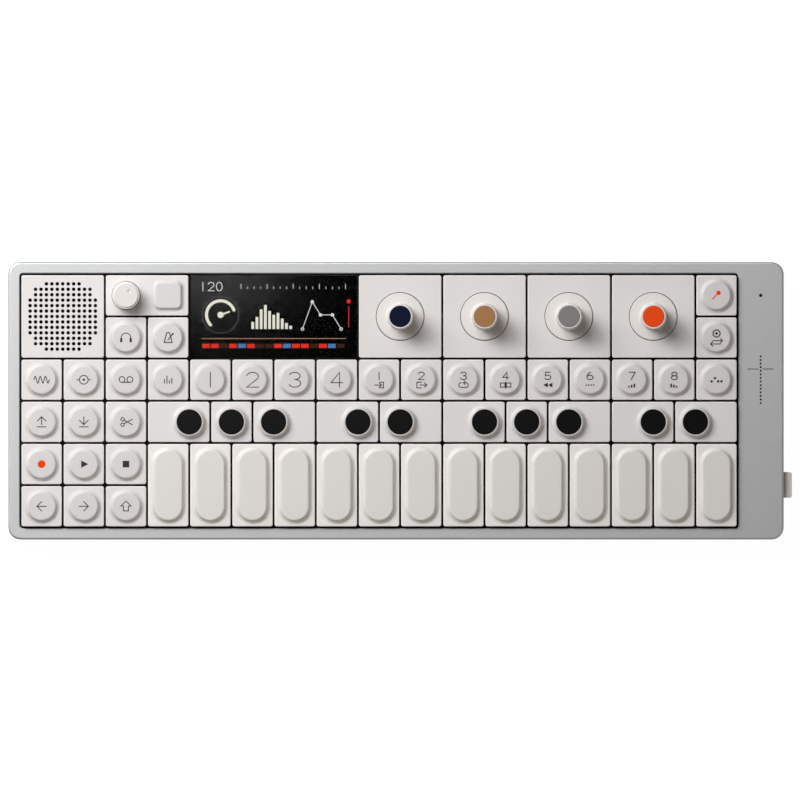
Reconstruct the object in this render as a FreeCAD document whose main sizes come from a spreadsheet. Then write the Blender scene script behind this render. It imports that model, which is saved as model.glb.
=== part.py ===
import FreeCAD, Part
import math
import os
import re

import Sketcher

# Portable synthesizer: a flat machined case whose window holds a square grid of keys.
# X runs to the player's right, Y to the rear and Z up. The origin lies on the table,
# under the middle of the overall length and depth.

# Driving sizes in millimetres.
SIZES = {
    # the key grid
    "key_pitch": 15.5,
    "tile_gap": 0.7,
    "tile_corner": 0.8,
    "tile_edge": 0.3,
    "tile_depth": 2.6,
    "tile_rise": 1.7,
    # the case
    "rim_width": 4.5,
    "land_width": 17.0,
    "case_height": 15.2,
    "case_corner": 4.5,
    "case_edge": 0.7,
    "base_edge": 0.4,
    "side_wall": 5.5,
    "end_wall": 3.0,
    "land_roof": 1.5,
    "window_corner": 1.3,
    "window_edge": 0.3,
    "cavity_corner": 2.0,
    # the cover, its screws and feet
    "cover_thickness": 1.6,
    "cover_lip": 1.0,
    "seat_gap": 0.1,
    "screw_radius": 1.0,
    "screw_length": 6.0,
    "screw_head_radius": 1.8,
    "screw_head_height": 1.0,
    "screw_gap": 0.06,
    "screw_inset": 3.2,
    "screw_end_inset": 12.0,
    "socket_radius": 0.75,
    "socket_depth": 0.6,
    "foot_radius": 6.0,
    "foot_drop": 0.8,
    "foot_seat": 0.5,
    "foot_gap": 0.1,
    "foot_edge": 0.3,
    "foot_end_inset": 24.0,
    "foot_side_inset": 15.0,
    # the key action
    "key_travel": 1.3,
    "press_gap": 0.2,
    "guide_thickness": 1.2,
    "guide_gap": 0.1,
    "stem_width": 6.0,
    "barb_reach": 0.4,
    "barb_height": 0.8,
    "dome_radius": 3.0,
    "dome_height": 0.6,
    "mat_thickness": 0.7,
    "post_radius": 1.6,
    "post_gap": 0.2,
    # the keys
    "button_foot_radius": 5.85,
    "button_top_radius": 5.1,
    "button_height": 1.5,
    "white_foot_width": 11.5,
    "white_top_width": 10.25,
    "white_side_margin": 1.65,
    "white_height": 1.6,
    "black_foot_radius": 5.4,
    "black_top_radius": 5.15,
    "black_height": 2.2,
    "inlay_radius": 4.65,
    "inlay_depth": 0.8,
    "inlay_proud": 0.1,
    "inlay_gap": 0.03,
    "crown_fillet": 0.75,
    "sharp_crown_fillet": 0.3,
    "foot_fillet": 1.4,
    # the fixed tiles
    "panel_skin": 1.6,
    "panel_wall": 1.2,
    "hole_radius": 0.66,
    "hole_pitch": 2.0,
    "boss_foot_width": 10.0,
    "boss_top_width": 9.2,
    "boss_corner": 2.1,
    "boss_height": 1.3,
    "glass_thickness": 1.8,
    "display_margin": 0.3,
    # the encoders and the volume control
    "encoder_disc_radius": 8.72,
    "encoder_disc_gap": 0.24,
    "encoder_disc_thickness": 1.8,
    "encoder_foot_radius": 4.8,
    "encoder_top_radius": 4.5,
    "encoder_height": 11.3,
    "encoder_rim_drop": 0.2,
    "encoder_foot_fillet": 0.5,
    "encoder_rim_fillet": 0.25,
    "cap_radius": 3.95,
    "cap_depth": 1.4,
    "shaft_radius": 3.0,
    "shaft_socket": 6.0,
    "shaft_end_gap": 0.6,
    "bushing_radius": 4.0,
    "bushing_rise": 0.8,
    "running_gap": 0.05,
    "housing_width": 12.0,
    "housing_gap": 0.2,
    "volume_radius": 5.1,
    "volume_gap": 0.2,
    "volume_sink": 1.2,
    "shoulder_height": 5.9,
    "shoulder_edge": 0.3,
    "crest_foot_radius": 4.6,
    "crest_top_radius": 4.35,
    "volume_height": 6.5,
    "volume_crown": 0.3,
    "volume_shaft_radius": 2.0,
    "volume_bushing_radius": 3.0,
    "volume_housing_width": 9.0,
    "dimple_radius": 0.85,
    "dimple_depth": 0.4,
    "dimple_x": 1.2,
    "dimple_y": 1.45,
    # the board and what it carries
    "board_thickness": 1.2,
    "board_gap": 0.3,
    "battery_length": 128.0,
    "battery_width": 62.0,
    "battery_corner": 3.0,
    "battery_gap": 0.4,
    "battery_end_inset": 46.0,
    "speaker_radius": 13.5,
    "speaker_flange": 1.2,
    "cone_radius": 11.5,
    "cone_depth": 2.2,
    "basket_depth": 3.4,
    "magnet_radius": 8.0,
    "magnet_depth": 3.2,
    # the right-hand end: sockets, switch, level meter and microphone
    "jack_inset": 24.0,
    "jack_spacing": 16.0,
    "jack_bore_radius": 1.8,
    "jack_bore_depth": 14.0,
    "jack_nose_radius": 3.0,
    "jack_width": 7.0,
    "jack_height": 6.2,
    "jack_depth": 12.5,
    "port_gap": 0.15,
    "port_sink": 0.1,
    "wing_reach": 1.0,
    "wing_height": 0.8,
    "usb_inset": 58.0,
    "usb_width": 8.94,
    "usb_height": 3.26,
    "usb_wall": 0.3,
    "usb_depth": 7.4,
    "usb_mouth": 6.4,
    "tongue_width": 6.7,
    "tongue_height": 0.7,
    "tongue_length": 5.4,
    "slider_inset": 81.9,
    "slider_lift": 4.15,
    "slider_reach": 3.0,
    "slider_length": 9.5,
    "slider_height": 2.8,
    "slider_corner": 0.9,
    "slider_edge": 0.25,
    "slider_travel": 3.0,
    "slide_gap": 0.12,
    "carriage_depth": 1.2,
    "carriage_lip": 0.6,
    "switch_depth": 4.5,
    "meter_pitch": 1.32,
    "meter_pin_radius": 0.33,
    "meter_hole_radius": 0.38,
    "meter_bar_width": 2.4,
    "meter_bar_height": 1.0,
    "meter_strip_height": 0.8,
    "mic_hole_radius": 0.62,
    "mic_radius": 2.2,
    "mic_height": 1.4,
}

COLUMNS = 17
ROWS = 6
METER_DOTS = 14
SCREWS_PER_SIDE = 5
SPEAKER_ROWS = (7, 11, 11, 13, 13, 13, 13, 13, 13, 13, 11, 11, 7)
SOCKET_SIDES = 6

# Octave pattern of the short keys: the column line that carries each stem,
# and how many columns its tile reaches to the left and to the right of it.
BLACK_KEYS = (
    (4, 1.0, 0.5),
    (5, 0.5, 0.5),
    (6, 0.5, 1.0),
    (8, 1.0, 0.5),
    (9, 0.5, 1.0),
    (11, 1.0, 0.5),
    (12, 0.5, 0.5),
    (13, 0.5, 1.0),
    (15, 1.0, 0.5),
    (16, 0.5, 1.0),
)
FIRST_WHITE_COLUMN = 3
WHITE_KEYS = 14

# Round buttons by node: the column and row of each one, counted from the rear left corner.
BUTTONS = {
    "record_button": ((0, 4),),
    "play_button": ((1, 4),),
    "stop_button": ((2, 4),),
    "arrow_buttons": ((0, 5), (1, 5)),
    "shift_button": ((2, 5),),
    "edit_buttons": ((0, 3), (1, 3), (2, 3)),
    "mode_buttons": ((0, 2), (1, 2), (2, 2), (3, 2)),
    "track_buttons": ((4, 2), (5, 2), (6, 2), (7, 2)),
    "sound_buttons": tuple((column, 2) for column in range(8, 16)),
    "tool_buttons": ((2, 1), (3, 1), (16, 0), (16, 1), (16, 2)),
}
ENCODERS = {"blue_encoder": 9, "ochre_encoder": 11, "grey_encoder": 13, "orange_encoder": 15}
ENCODER_ROW = 1
SPEAKER_PLACE = (1, 1)
VOLUME_PLACE = (2.5, 0.5)
BOSS_PLACE = (3.5, 0.5)
DISPLAY_PLACE = (6, 1)
MICROPHONE_ROW = 0.5
METER_ROW = 2.5
GUIDE_POSTS = tuple((column, row) for column in (1, 6, 11, 16) for row in (3, 5)) + (
    (4, 1),
    (8, 1),
    (12, 1),
    (16, 1),
)
SHORT_KEY_ROW = 3.5
LONG_KEY_ROWS = (4.5, 5.5)

doc = FreeCAD.newDocument("synthesizer")
sheet = doc.addObject("Spreadsheet::Sheet", "sizes")
for line, (alias, number) in enumerate(SIZES.items(), start=1):
    sheet.set(f"A{line}", alias)
    sheet.set(f"B{line}", str(number))
    sheet.setAlias(f"B{line}", alias)
doc.recompute()

# Levels above the table, from the feet up.
COVER_TOP = "(foot_drop + cover_thickness)"
CASE_TOP = "(foot_drop + case_height)"
TILE_TOP = f"({CASE_TOP} + tile_rise)"
GUIDE_TOP = f"({TILE_TOP} - tile_depth - key_travel - press_gap)"
GUIDE_BASE = f"({GUIDE_TOP} - guide_thickness)"
STEM_LENGTH = "(key_travel + press_gap + guide_thickness + guide_gap + barb_height)"
STEM_BASE = f"({TILE_TOP} - tile_depth - {STEM_LENGTH})"
DOME_TOP = f"({STEM_BASE} - key_travel - guide_gap)"
MAT_TOP = f"({DOME_TOP} - dome_height)"
BOARD_TOP = f"({MAT_TOP} - mat_thickness)"
BOARD_BASE = f"({BOARD_TOP} - board_thickness)"
PORT_LEVEL = f"({BOARD_TOP} - board_thickness / 2)"
SLIDER_LEVEL = f"({PORT_LEVEL} + slider_lift)"
ROOF_BASE = f"({CASE_TOP} - land_roof)"

# Plan of the case. The slider stands out on the right, so the case sits left of the origin.
CASE_LENGTH = f"(rim_width + {COLUMNS} * key_pitch + land_width)"
CASE_DEPTH = f"(2 * rim_width + {ROWS} * key_pitch)"
CASE_X = "(-slider_reach / 2)"
CASE_LEFT = f"({CASE_X} - {CASE_LENGTH} / 2)"
CASE_RIGHT = f"({CASE_X} + {CASE_LENGTH} / 2)"
CASE_REAR = f"({CASE_DEPTH} / 2)"
FIELD_X = f"({CASE_LEFT} + rim_width + {COLUMNS} / 2 * key_pitch)"
WINDOW_LENGTH = f"({COLUMNS} * key_pitch + tile_gap)"
WINDOW_DEPTH = f"({ROWS} * key_pitch + tile_gap)"
LAND_X = f"({CASE_RIGHT} - land_width / 2)"
CAVITY_LEFT = f"({CASE_LEFT} + side_wall)"
CAVITY_RIGHT = f"({CASE_RIGHT} - end_wall)"
CAVITY_LENGTH = f"({CAVITY_RIGHT} - {CAVITY_LEFT})"
CAVITY_X = f"(({CAVITY_LEFT} + {CAVITY_RIGHT}) / 2)"
CAVITY_DEPTH = f"({CASE_DEPTH} - 2 * side_wall)"
JACK_PLACES = (f"({CASE_REAR} - jack_inset)", f"({CASE_REAR} - jack_inset - jack_spacing)")
USB_Y = f"({CASE_REAR} - usb_inset)"
SLIDER_Y = f"({CASE_REAR} - slider_inset)"
SLIDER_RUN_Y = f"({SLIDER_Y} + slider_travel / 2)"


def column_x(column):
    """Distance along X of a column line of the key grid, counted from the left."""
    return f"({CASE_LEFT} + rim_width + {column} * key_pitch)"


def row_y(row):
    """Distance along Y of a row line of the key grid, counted from the rear."""
    return f"({CASE_REAR} - rim_width - {row} * key_pitch)"


def bound(text):
    """Expression in which each size is looked up in the sheet."""
    return re.sub(r"[a-z][a-z_]+", lambda word: f"sizes.{word[0]}" if word[0] in SIZES else word[0], text)


def bind(item, **properties):
    """Ties properties of an object to the sheet."""
    for name, text in properties.items():
        item.setExpression(name, bound(text))
    return item


def place(item, x="0", y="0", z="0"):
    """Ties an object's place to the sheet."""
    for axis, text in zip("xyz", (x, y, z)):
        item.setExpression(f"Placement.Base.{axis}", bound(text))
    return item


def named(item, label):
    """The same object, under the name that its file takes."""
    item.Label = label
    return item


# Sketches and features of a machined or moulded body.
PLANE_AXES = {"XY_Plane": "xyz", "XZ_Plane": "xzy", "YZ_Plane": "yzx"}


def new_body(label):
    return named(doc.addObject("PartDesign::Body", label), label)


def new_sketch(body, name, plane="XY_Plane", **offset):
    """Sketch on one of the body's own planes; offset gives where its origin lies in the body."""
    sketch = body.newObject("Sketcher::SketchObject", name)
    support = next(item for item in body.Origin.OriginFeatures if item.Role == plane)
    sketch.AttachmentSupport = (support, [""])
    sketch.MapMode = "FlatFace"
    for local, axis in zip("xyz", PLANE_AXES[plane]):
        if axis in offset:
            sketch.setExpression(f"AttachmentOffset.Base.{local}", bound(offset[axis]))
    return sketch


def dimension(sketch, kind, name, text, *places):
    """Named dimension of a sketch, tied to the sheet."""
    index = sketch.addConstraint(Sketcher.Constraint(kind, *places, 1.0))
    sketch.renameConstraint(index, name)
    sketch.setExpression(f"Constraints.{name}", bound(text))


def draw_circle(sketch, radius):
    edge = sketch.addGeometry(Part.Circle(FreeCAD.Vector(), FreeCAD.Vector(0, 0, 1), 1.0), False)
    sketch.addConstraint(Sketcher.Constraint("Coincident", edge, 3, -1, 1))
    dimension(sketch, "Radius", "radius", radius, edge)
    return sketch


def draw_rectangle(sketch, width, depth):
    """Rectangle about the sketch's origin."""
    corners = [FreeCAD.Vector(x, y, 0) for x, y in ((-1, -1), (1, -1), (1, 1), (-1, 1))]
    sides = [
        sketch.addGeometry(Part.LineSegment(corners[index], corners[(index + 1) % 4]), False)
        for index in range(4)
    ]
    for index, side in enumerate(sides):
        sketch.addConstraint(Sketcher.Constraint("Coincident", side, 2, sides[(index + 1) % 4], 1))
        sketch.addConstraint(Sketcher.Constraint(("Horizontal", "Vertical")[index % 2], side))
    sketch.addConstraint(Sketcher.Constraint("Symmetric", sides[0], 1, sides[2], 1, -1, 1))
    dimension(sketch, "DistanceX", "width", width, sides[0], 1, sides[0], 2)
    dimension(sketch, "DistanceY", "depth", depth, sides[1], 1, sides[1], 2)
    return sketch


def draw_rounded_rectangle(sketch, width, depth, corner):
    """Rectangle about the sketch's origin with four equal round corners."""
    reach, flat = 3.0, 2.0
    ends = (
        ((-flat, -reach), (flat, -reach)),
        ((reach, -flat), (reach, flat)),
        ((flat, reach), (-flat, reach)),
        ((-reach, flat), (-reach, -flat)),
    )
    sides = [
        sketch.addGeometry(Part.LineSegment(FreeCAD.Vector(*start), FreeCAD.Vector(*end)), False)
        for start, end in ends
    ]
    quarter = math.pi / 2
    centres = ((flat, -flat), (flat, flat), (-flat, flat), (-flat, -flat))
    arcs = []
    for index, centre in enumerate(centres):
        circle = Part.Circle(FreeCAD.Vector(*centre), FreeCAD.Vector(0, 0, 1), reach - flat)
        start = (index - 1) * quarter
        arcs.append(sketch.addGeometry(Part.ArcOfCircle(circle, start, start + quarter), False))
    for index, arc in enumerate(arcs):
        sketch.addConstraint(Sketcher.Constraint(("Horizontal", "Vertical")[index % 2], sides[index]))
        sketch.addConstraint(Sketcher.Constraint("Tangent", sides[index], 2, arc, 1))
        sketch.addConstraint(Sketcher.Constraint("Tangent", arc, 2, sides[(index + 1) % 4], 1))
        if index:
            sketch.addConstraint(Sketcher.Constraint("Equal", arcs[0], arc))
    sketch.addConstraint(Sketcher.Constraint("Symmetric", sides[0], 1, sides[2], 1, -1, 1))
    dimension(sketch, "Radius", "corner", corner, arcs[0])
    dimension(sketch, "DistanceX", "width", width, arcs[3], 1, arcs[1], 1)
    dimension(sketch, "DistanceY", "depth", depth, arcs[0], 1, arcs[2], 1)
    return sketch


def draw_slot(sketch, length, width, along="x"):
    """Slot with half-round ends about the sketch's origin; its long axis is the sketch's x or y."""
    turn = 0.0 if along == "x" else math.pi / 2
    side = FreeCAD.Vector(2, 0, 0) if along == "x" else FreeCAD.Vector(0, 2, 0)
    far = Part.Circle(side, FreeCAD.Vector(0, 0, 1), 1.0)
    near = Part.Circle(-side, FreeCAD.Vector(0, 0, 1), 1.0)
    far_arc = sketch.addGeometry(Part.ArcOfCircle(far, turn - math.pi / 2, turn + math.pi / 2), False)
    near_arc = sketch.addGeometry(Part.ArcOfCircle(near, turn + math.pi / 2, turn + 1.5 * math.pi), False)
    far_end = sketch.getPoint(far_arc, 2)
    near_start = sketch.getPoint(near_arc, 1)
    near_end = sketch.getPoint(near_arc, 2)
    far_start = sketch.getPoint(far_arc, 1)
    first = sketch.addGeometry(Part.LineSegment(far_end, near_start), False)
    second = sketch.addGeometry(Part.LineSegment(near_end, far_start), False)
    sketch.addConstraint(Sketcher.Constraint("Tangent", far_arc, 2, first, 1))
    sketch.addConstraint(Sketcher.Constraint("Tangent", first, 2, near_arc, 1))
    sketch.addConstraint(Sketcher.Constraint("Tangent", near_arc, 2, second, 1))
    sketch.addConstraint(Sketcher.Constraint("Tangent", second, 2, far_arc, 1))
    sketch.addConstraint(Sketcher.Constraint("Equal", far_arc, near_arc))
    sketch.addConstraint(Sketcher.Constraint("Symmetric", far_arc, 3, near_arc, 3, -1, 1))
    level = "Horizontal" if along == "x" else "Vertical"
    sketch.addConstraint(Sketcher.Constraint(level, first))
    dimension(sketch, "Radius", "half_width", f"({width}) / 2", far_arc)
    kind = "DistanceX" if along == "x" else "DistanceY"
    dimension(sketch, kind, "centres", f"({length}) - ({width})", near_arc, 3, far_arc, 3)
    return sketch


# How the two numbers of a turned outline's point are held: the kind of dimension, its name,
# and the sketch axis that the point lies on where the number is zero.
TURNED_AXES = (("DistanceX", "DistanceY"), ("radius", "height"), (-2, -1))


def draw_profile(sketch, points):
    """Closed outline through (radius, height) points, each tied to the sheet, for a turned piece."""
    corners = [FreeCAD.Vector(1 + index % 7, index, 0) for index in range(len(points))]
    sides = [
        sketch.addGeometry(Part.LineSegment(corner, corners[(index + 1) % len(points)]), False)
        for index, corner in enumerate(corners)
    ]
    for index, (side, point) in enumerate(zip(sides, points)):
        following = sides[(index + 1) % len(sides)]
        sketch.addConstraint(Sketcher.Constraint("Coincident", side, 2, following, 1))
        for text, kind, name, axis in zip(point, *TURNED_AXES):
            if text == "0":
                sketch.addConstraint(Sketcher.Constraint("PointOnObject", side, 1, axis))
            else:
                dimension(sketch, kind, f"{name}_{index}", text, -1, 1, side, 1)
    return sketch


def add_feature(body, kind, name, **properties):
    feature = body.newObject(f"PartDesign::{kind}", name)
    for key, value in properties.items():
        setattr(feature, key, value)
    return feature


def pad(body, sketch, name, length, down=False, taper=None):
    """Adds material from a sketch; taper is how far each side draws in over the length."""
    feature = bind(add_feature(body, "Pad", name, Profile=sketch, Reversed=down), Length=length)
    if taper:
        bind(feature, TaperAngle=f"-atan(({taper}) / ({length}))")
    return feature


def pocket(body, sketch, name, length, up=False):
    """Removes material from a sketch downwards, or upwards."""
    return bind(add_feature(body, "Pocket", name, Profile=sketch, Reversed=up), Length=length)


def turned(body, name, points):
    """Solid of revolution about the body's Z axis."""
    sketch = draw_profile(new_sketch(body, f"{name}_profile", plane="XZ_Plane"), points)
    axis = next(item for item in body.Origin.OriginFeatures if item.Role == "Z_Axis")
    return add_feature(body, "Revolution", name, Profile=sketch, ReferenceAxis=(axis, [""]), Angle=360.0)


def edges_where(feature, test):
    """Names of the edges of a feature's shape that a test picks by their bounding box."""
    doc.recompute([feature])
    return [f"Edge{index}" for index, edge in enumerate(feature.Shape.Edges, 1) if test(edge)]


def is_level(edge, height):
    box = edge.BoundBox
    return abs(box.ZMin - height) < 1e-4 and abs(box.ZMax - height) < 1e-4


def is_within(edge, outline):
    """Whether an edge lies inside a sketch's extent, or on it."""
    box = edge.BoundBox
    slack = 0.05
    inside_x = box.XMin > outline.XMin - slack and box.XMax < outline.XMax + slack
    return inside_x and box.YMin > outline.YMin - slack and box.YMax < outline.YMax + slack


def fillet(body, name, base, edges, radius):
    return bind(add_feature(body, "Fillet", name, Base=(base, edges)), Radius=radius)


def clone(shape, label, x="0", y="0", z="0"):
    """Another copy of a finished body, at its own place."""
    body = new_body(label)
    feature = body.newObject("PartDesign::FeatureBase", f"{label}_base")
    feature.BaseFeature = shape
    body.Tip = feature
    return place(body, x, y, z)


# Simple solids, groups and cuts.
def block(label, length, width, height, x="0", y="0", z="0"):
    """Box centred on x and y, standing on z."""
    item = named(doc.addObject("Part::Box", label), label)
    bind(item, Length=length, Width=width, Height=height)
    return place(item, f"{x} - ({length}) / 2", f"{y} - ({width}) / 2", z)


def rod(label, radius, height, x="0", y="0", z="0", along="z"):
    """Cylinder that starts at a place and runs along Z or X."""
    item = named(doc.addObject("Part::Cylinder", label), label)
    if along == "x":
        item.Placement.Rotation = FreeCAD.Rotation(FreeCAD.Vector(0, 1, 0), 90)
    return place(bind(item, Radius=radius, Height=height), x, y, z)


def cone(label, lower, upper, height, x="0", y="0", z="0"):
    item = named(doc.addObject("Part::Cone", label), label)
    return place(bind(item, Radius1=lower, Radius2=upper, Height=height), x, y, z)


def group(label, members):
    """Separate solids that make one node, or the cutters of one cut."""
    item = named(doc.addObject("Part::Compound", label), label)
    item.Links = members
    return item


def fused(label, members):
    item = named(doc.addObject("Part::MultiFuse", label), label)
    item.Shapes = members
    return item


def cut(label, base, tool):
    item = named(doc.addObject("Part::Cut", label), label)
    item.Base = base
    item.Tool = tool
    return item


# Keys. Each shape is drawn about its stem, with its tile's upper face at height zero.
def add_tile(body, left, right, rows):
    """Tile of a key that reaches so many columns to each side and spans so many rows."""
    outline = new_sketch(body, "tile_outline", x=f"{(right - left) / 2} * key_pitch")
    width = f"{left + right} * key_pitch - tile_gap"
    draw_rounded_rectangle(outline, width, f"{rows} * key_pitch - tile_gap", "tile_corner")
    tile = pad(body, outline, "tile", "tile_depth", down=True)
    rim = edges_where(tile, lambda edge: is_level(edge, 0.0))
    return fillet(body, "tile_rim", tile, rim, "tile_edge")


def add_stem(body, shift="0"):
    """Square stem that slides in the guide plate, with the barbs that hold it there."""
    shank = new_sketch(body, "stem_outline", y=shift, z="-tile_depth")
    draw_rectangle(shank, "stem_width", "stem_width")
    pad(body, shank, "stem", STEM_LENGTH, down=True)
    foot = new_sketch(body, "barb_outline", y=shift, z=f"-tile_depth - {STEM_LENGTH}")
    draw_rectangle(foot, "stem_width + 2 * barb_reach", "stem_width")
    pad(body, foot, "barb", "barb_height")


def soften(body, boss, crown_radius="crown_fillet"):
    """Rounds a raised cap's upper edge and its foot."""
    doc.recompute([boss])
    top = boss.Shape.BoundBox.ZMax
    reach = boss.Profile[0].Shape.BoundBox
    crown = edges_where(boss, lambda edge: is_level(edge, top))
    rounded = fillet(body, "crown", boss, crown, crown_radius)
    foot = edges_where(rounded, lambda edge: is_level(edge, 0.0) and is_within(edge, reach))
    return fillet(body, "foot", rounded, foot, "foot_fillet")


def round_cap(body, foot_radius, top_radius, height, crown_radius="crown_fillet"):
    outline = draw_circle(new_sketch(body, "cap_outline"), foot_radius)
    boss = pad(body, outline, "cap", height, taper=f"{foot_radius} - {top_radius}")
    return soften(body, boss, crown_radius)


def make_button():
    body = new_body("round_button_shape")
    add_tile(body, 0.5, 0.5, 1)
    add_stem(body)
    round_cap(body, "button_foot_radius", "button_top_radius", "button_height")
    return body


def make_white_key():
    body = new_body("white_key_shape")
    add_tile(body, 0.5, 0.5, 2)
    for side in (-0.5, 0.5):
        add_stem(body, f"{side} * key_pitch")
    outline = new_sketch(body, "cap_outline")
    draw_slot(outline, "2 * key_pitch - tile_gap - 2 * white_side_margin", "white_foot_width", along="y")
    boss = pad(body, outline, "cap", "white_height", taper="(white_foot_width - white_top_width) / 2")
    soften(body, boss)
    return body


def make_black_key(name, left, right):
    body = new_body(f"{name}_tile_shape")
    add_tile(body, left, right, 1)
    add_stem(body)
    round_cap(body, "black_foot_radius", "black_top_radius", "black_height", "sharp_crown_fillet")
    seat = draw_circle(new_sketch(body, "inlay_seat", z="black_height"), "inlay_radius + inlay_gap")
    pocket(body, seat, "inlay_pocket", "inlay_depth")
    return body


def make_inlay():
    """Dark disc let into the cap of a short key."""
    body = new_body("black_inlay_shape")
    outline = draw_circle(new_sketch(body, "disc_outline"), "inlay_radius")
    disc = pad(body, outline, "disc", "inlay_depth + inlay_proud")
    doc.recompute([disc])
    top = disc.Shape.BoundBox.ZMax
    top_edges = edges_where(disc, lambda edge: is_level(edge, top))
    fillet(body, "disc_rim", disc, top_edges, "sharp_crown_fillet")
    return body


button_shape = make_button()
buttons = {}
for node, cells in BUTTONS.items():
    caps = [
        clone(
            button_shape,
            f"{node}_{index}" if len(cells) > 1 else node,
            column_x(column + 0.5),
            row_y(row + 0.5),
            TILE_TOP,
        )
        for index, (column, row) in enumerate(cells, start=1)
    ]
    buttons[node] = group(node, caps) if len(caps) > 1 else caps[0]

white_shape = make_white_key()
white_keys = [
    clone(
        white_shape,
        f"white_key_{index}",
        column_x(FIRST_WHITE_COLUMN + index - 0.5),
        row_y(sum(LONG_KEY_ROWS) / len(LONG_KEY_ROWS)),
        TILE_TOP,
    )
    for index in range(1, WHITE_KEYS + 1)
]

inlay_shape = make_inlay()
black_shapes = {
    (1.0, 0.5): make_black_key("left_black", 1.0, 0.5),
    (0.5, 0.5): make_black_key("middle_black", 0.5, 0.5),
    (0.5, 1.0): make_black_key("right_black", 0.5, 1.0),
}
black_keys = []
for index, (column, left, right) in enumerate(BLACK_KEYS, start=1):
    spot = (column_x(column), row_y(SHORT_KEY_ROW))
    tile = clone(black_shapes[left, right], f"black_tile_{index}", *spot, TILE_TOP)
    disc = clone(inlay_shape, f"black_inlay_{index}", *spot, f"{TILE_TOP} + black_height - inlay_depth")
    black_keys.append(group(f"black_key_{index}", [tile, disc]))


# Fixed tiles: shells that stand on the guide plate and come up flush with the keys.
PANEL_HEIGHT = f"({TILE_TOP} - {GUIDE_TOP})"


def make_panel(label, columns, rows):
    """Shell tile drawn about its own middle, with its upper face at height zero."""
    body = new_body(label)
    sizes = (f"{columns} * key_pitch - tile_gap", f"{rows} * key_pitch - tile_gap")
    outline = draw_rounded_rectangle(new_sketch(body, "panel_outline"), *sizes, "tile_corner")
    shell = pad(body, outline, "panel", PANEL_HEIGHT, down=True)
    upper_edges = edges_where(shell, lambda edge: is_level(edge, 0.0))
    fillet(body, "panel_rim", shell, upper_edges, "tile_edge")
    hollow = new_sketch(body, "hollow_outline", z=f"-{PANEL_HEIGHT}")
    draw_rectangle(hollow, *(f"{size} - 2 * panel_wall" for size in sizes))
    pocket(body, hollow, "hollow", f"{PANEL_HEIGHT} - panel_skin", up=True)
    return body


speaker_panel = make_panel("speaker_panel", 2, 2)
speaker_spot = (column_x(SPEAKER_PLACE[0]), row_y(SPEAKER_PLACE[1]))
place(speaker_panel, *speaker_spot, TILE_TOP)
speaker_holes = []
for row, count in enumerate(SPEAKER_ROWS):
    for step in range(count):
        across = step - (count - 1) / 2
        back = (len(SPEAKER_ROWS) - 1) / 2 - row
        speaker_holes.append(
            rod(
                f"speaker_hole_{row}_{step}",
                "hole_radius",
                "2 * panel_skin",
                f"{speaker_spot[0]} + {across} * hole_pitch",
                f"{speaker_spot[1]} + {back} * hole_pitch",
                f"{TILE_TOP} - 1.5 * panel_skin",
            )
        )
speaker_grille = cut("speaker_grille", speaker_panel, group("speaker_holes", speaker_holes))

encoder_panel_shape = make_panel("encoder_panel_shape", 2, 2)
disc_hole = new_sketch(encoder_panel_shape, "disc_hole_outline")
draw_circle(disc_hole, "encoder_disc_radius + encoder_disc_gap")
pocket(encoder_panel_shape, disc_hole, "disc_hole", "2 * panel_skin")
encoder_panels = group(
    "encoder_panels",
    [
        clone(encoder_panel_shape, f"panel_under_{node}", column_x(column), row_y(ENCODER_ROW), TILE_TOP)
        for node, column in ENCODERS.items()
    ],
)

volume_panel = make_panel("volume_panel", 2, 1)
place(volume_panel, column_x(3), row_y(0.5), TILE_TOP)
boss_outline = new_sketch(volume_panel, "boss_outline", x=f"{BOSS_PLACE[0] - 3} * key_pitch")
draw_rounded_rectangle(boss_outline, "boss_foot_width", "boss_foot_width", "boss_corner")
boss_taper = "(boss_foot_width - boss_top_width) / 2"
raised_boss = pad(volume_panel, boss_outline, "raised_boss", "boss_height", taper=boss_taper)
soften(volume_panel, raised_boss, "sharp_crown_fillet")
volume_hole = new_sketch(volume_panel, "volume_hole_outline", x=f"{VOLUME_PLACE[0] - 3} * key_pitch")
draw_circle(volume_hole, "volume_radius + volume_gap")
pocket(volume_panel, volume_hole, "volume_hole", "2 * panel_skin")

GLASS_BASE = f"({TILE_TOP} - glass_thickness)"
display_glass = new_body("display_glass")
place(display_glass, column_x(DISPLAY_PLACE[0]), row_y(DISPLAY_PLACE[1]), TILE_TOP)
glass_sizes = ("4 * key_pitch - tile_gap", "2 * key_pitch - tile_gap")
glass_outline = new_sketch(display_glass, "glass_outline")
draw_rounded_rectangle(glass_outline, *glass_sizes, "tile_corner")
lens = pad(display_glass, glass_outline, "lens", "glass_thickness", down=True)
lens_rim = edges_where(lens, lambda edge: is_level(edge, 0.0))
fillet(display_glass, "lens_rim", lens, lens_rim, "tile_edge")
display_module = block(
    "display_module",
    *(f"{size} - 2 * display_margin" for size in glass_sizes),
    f"{GLASS_BASE} - {GUIDE_TOP}",
    column_x(DISPLAY_PLACE[0]),
    row_y(DISPLAY_PLACE[1]),
    GUIDE_TOP,
)


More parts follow.
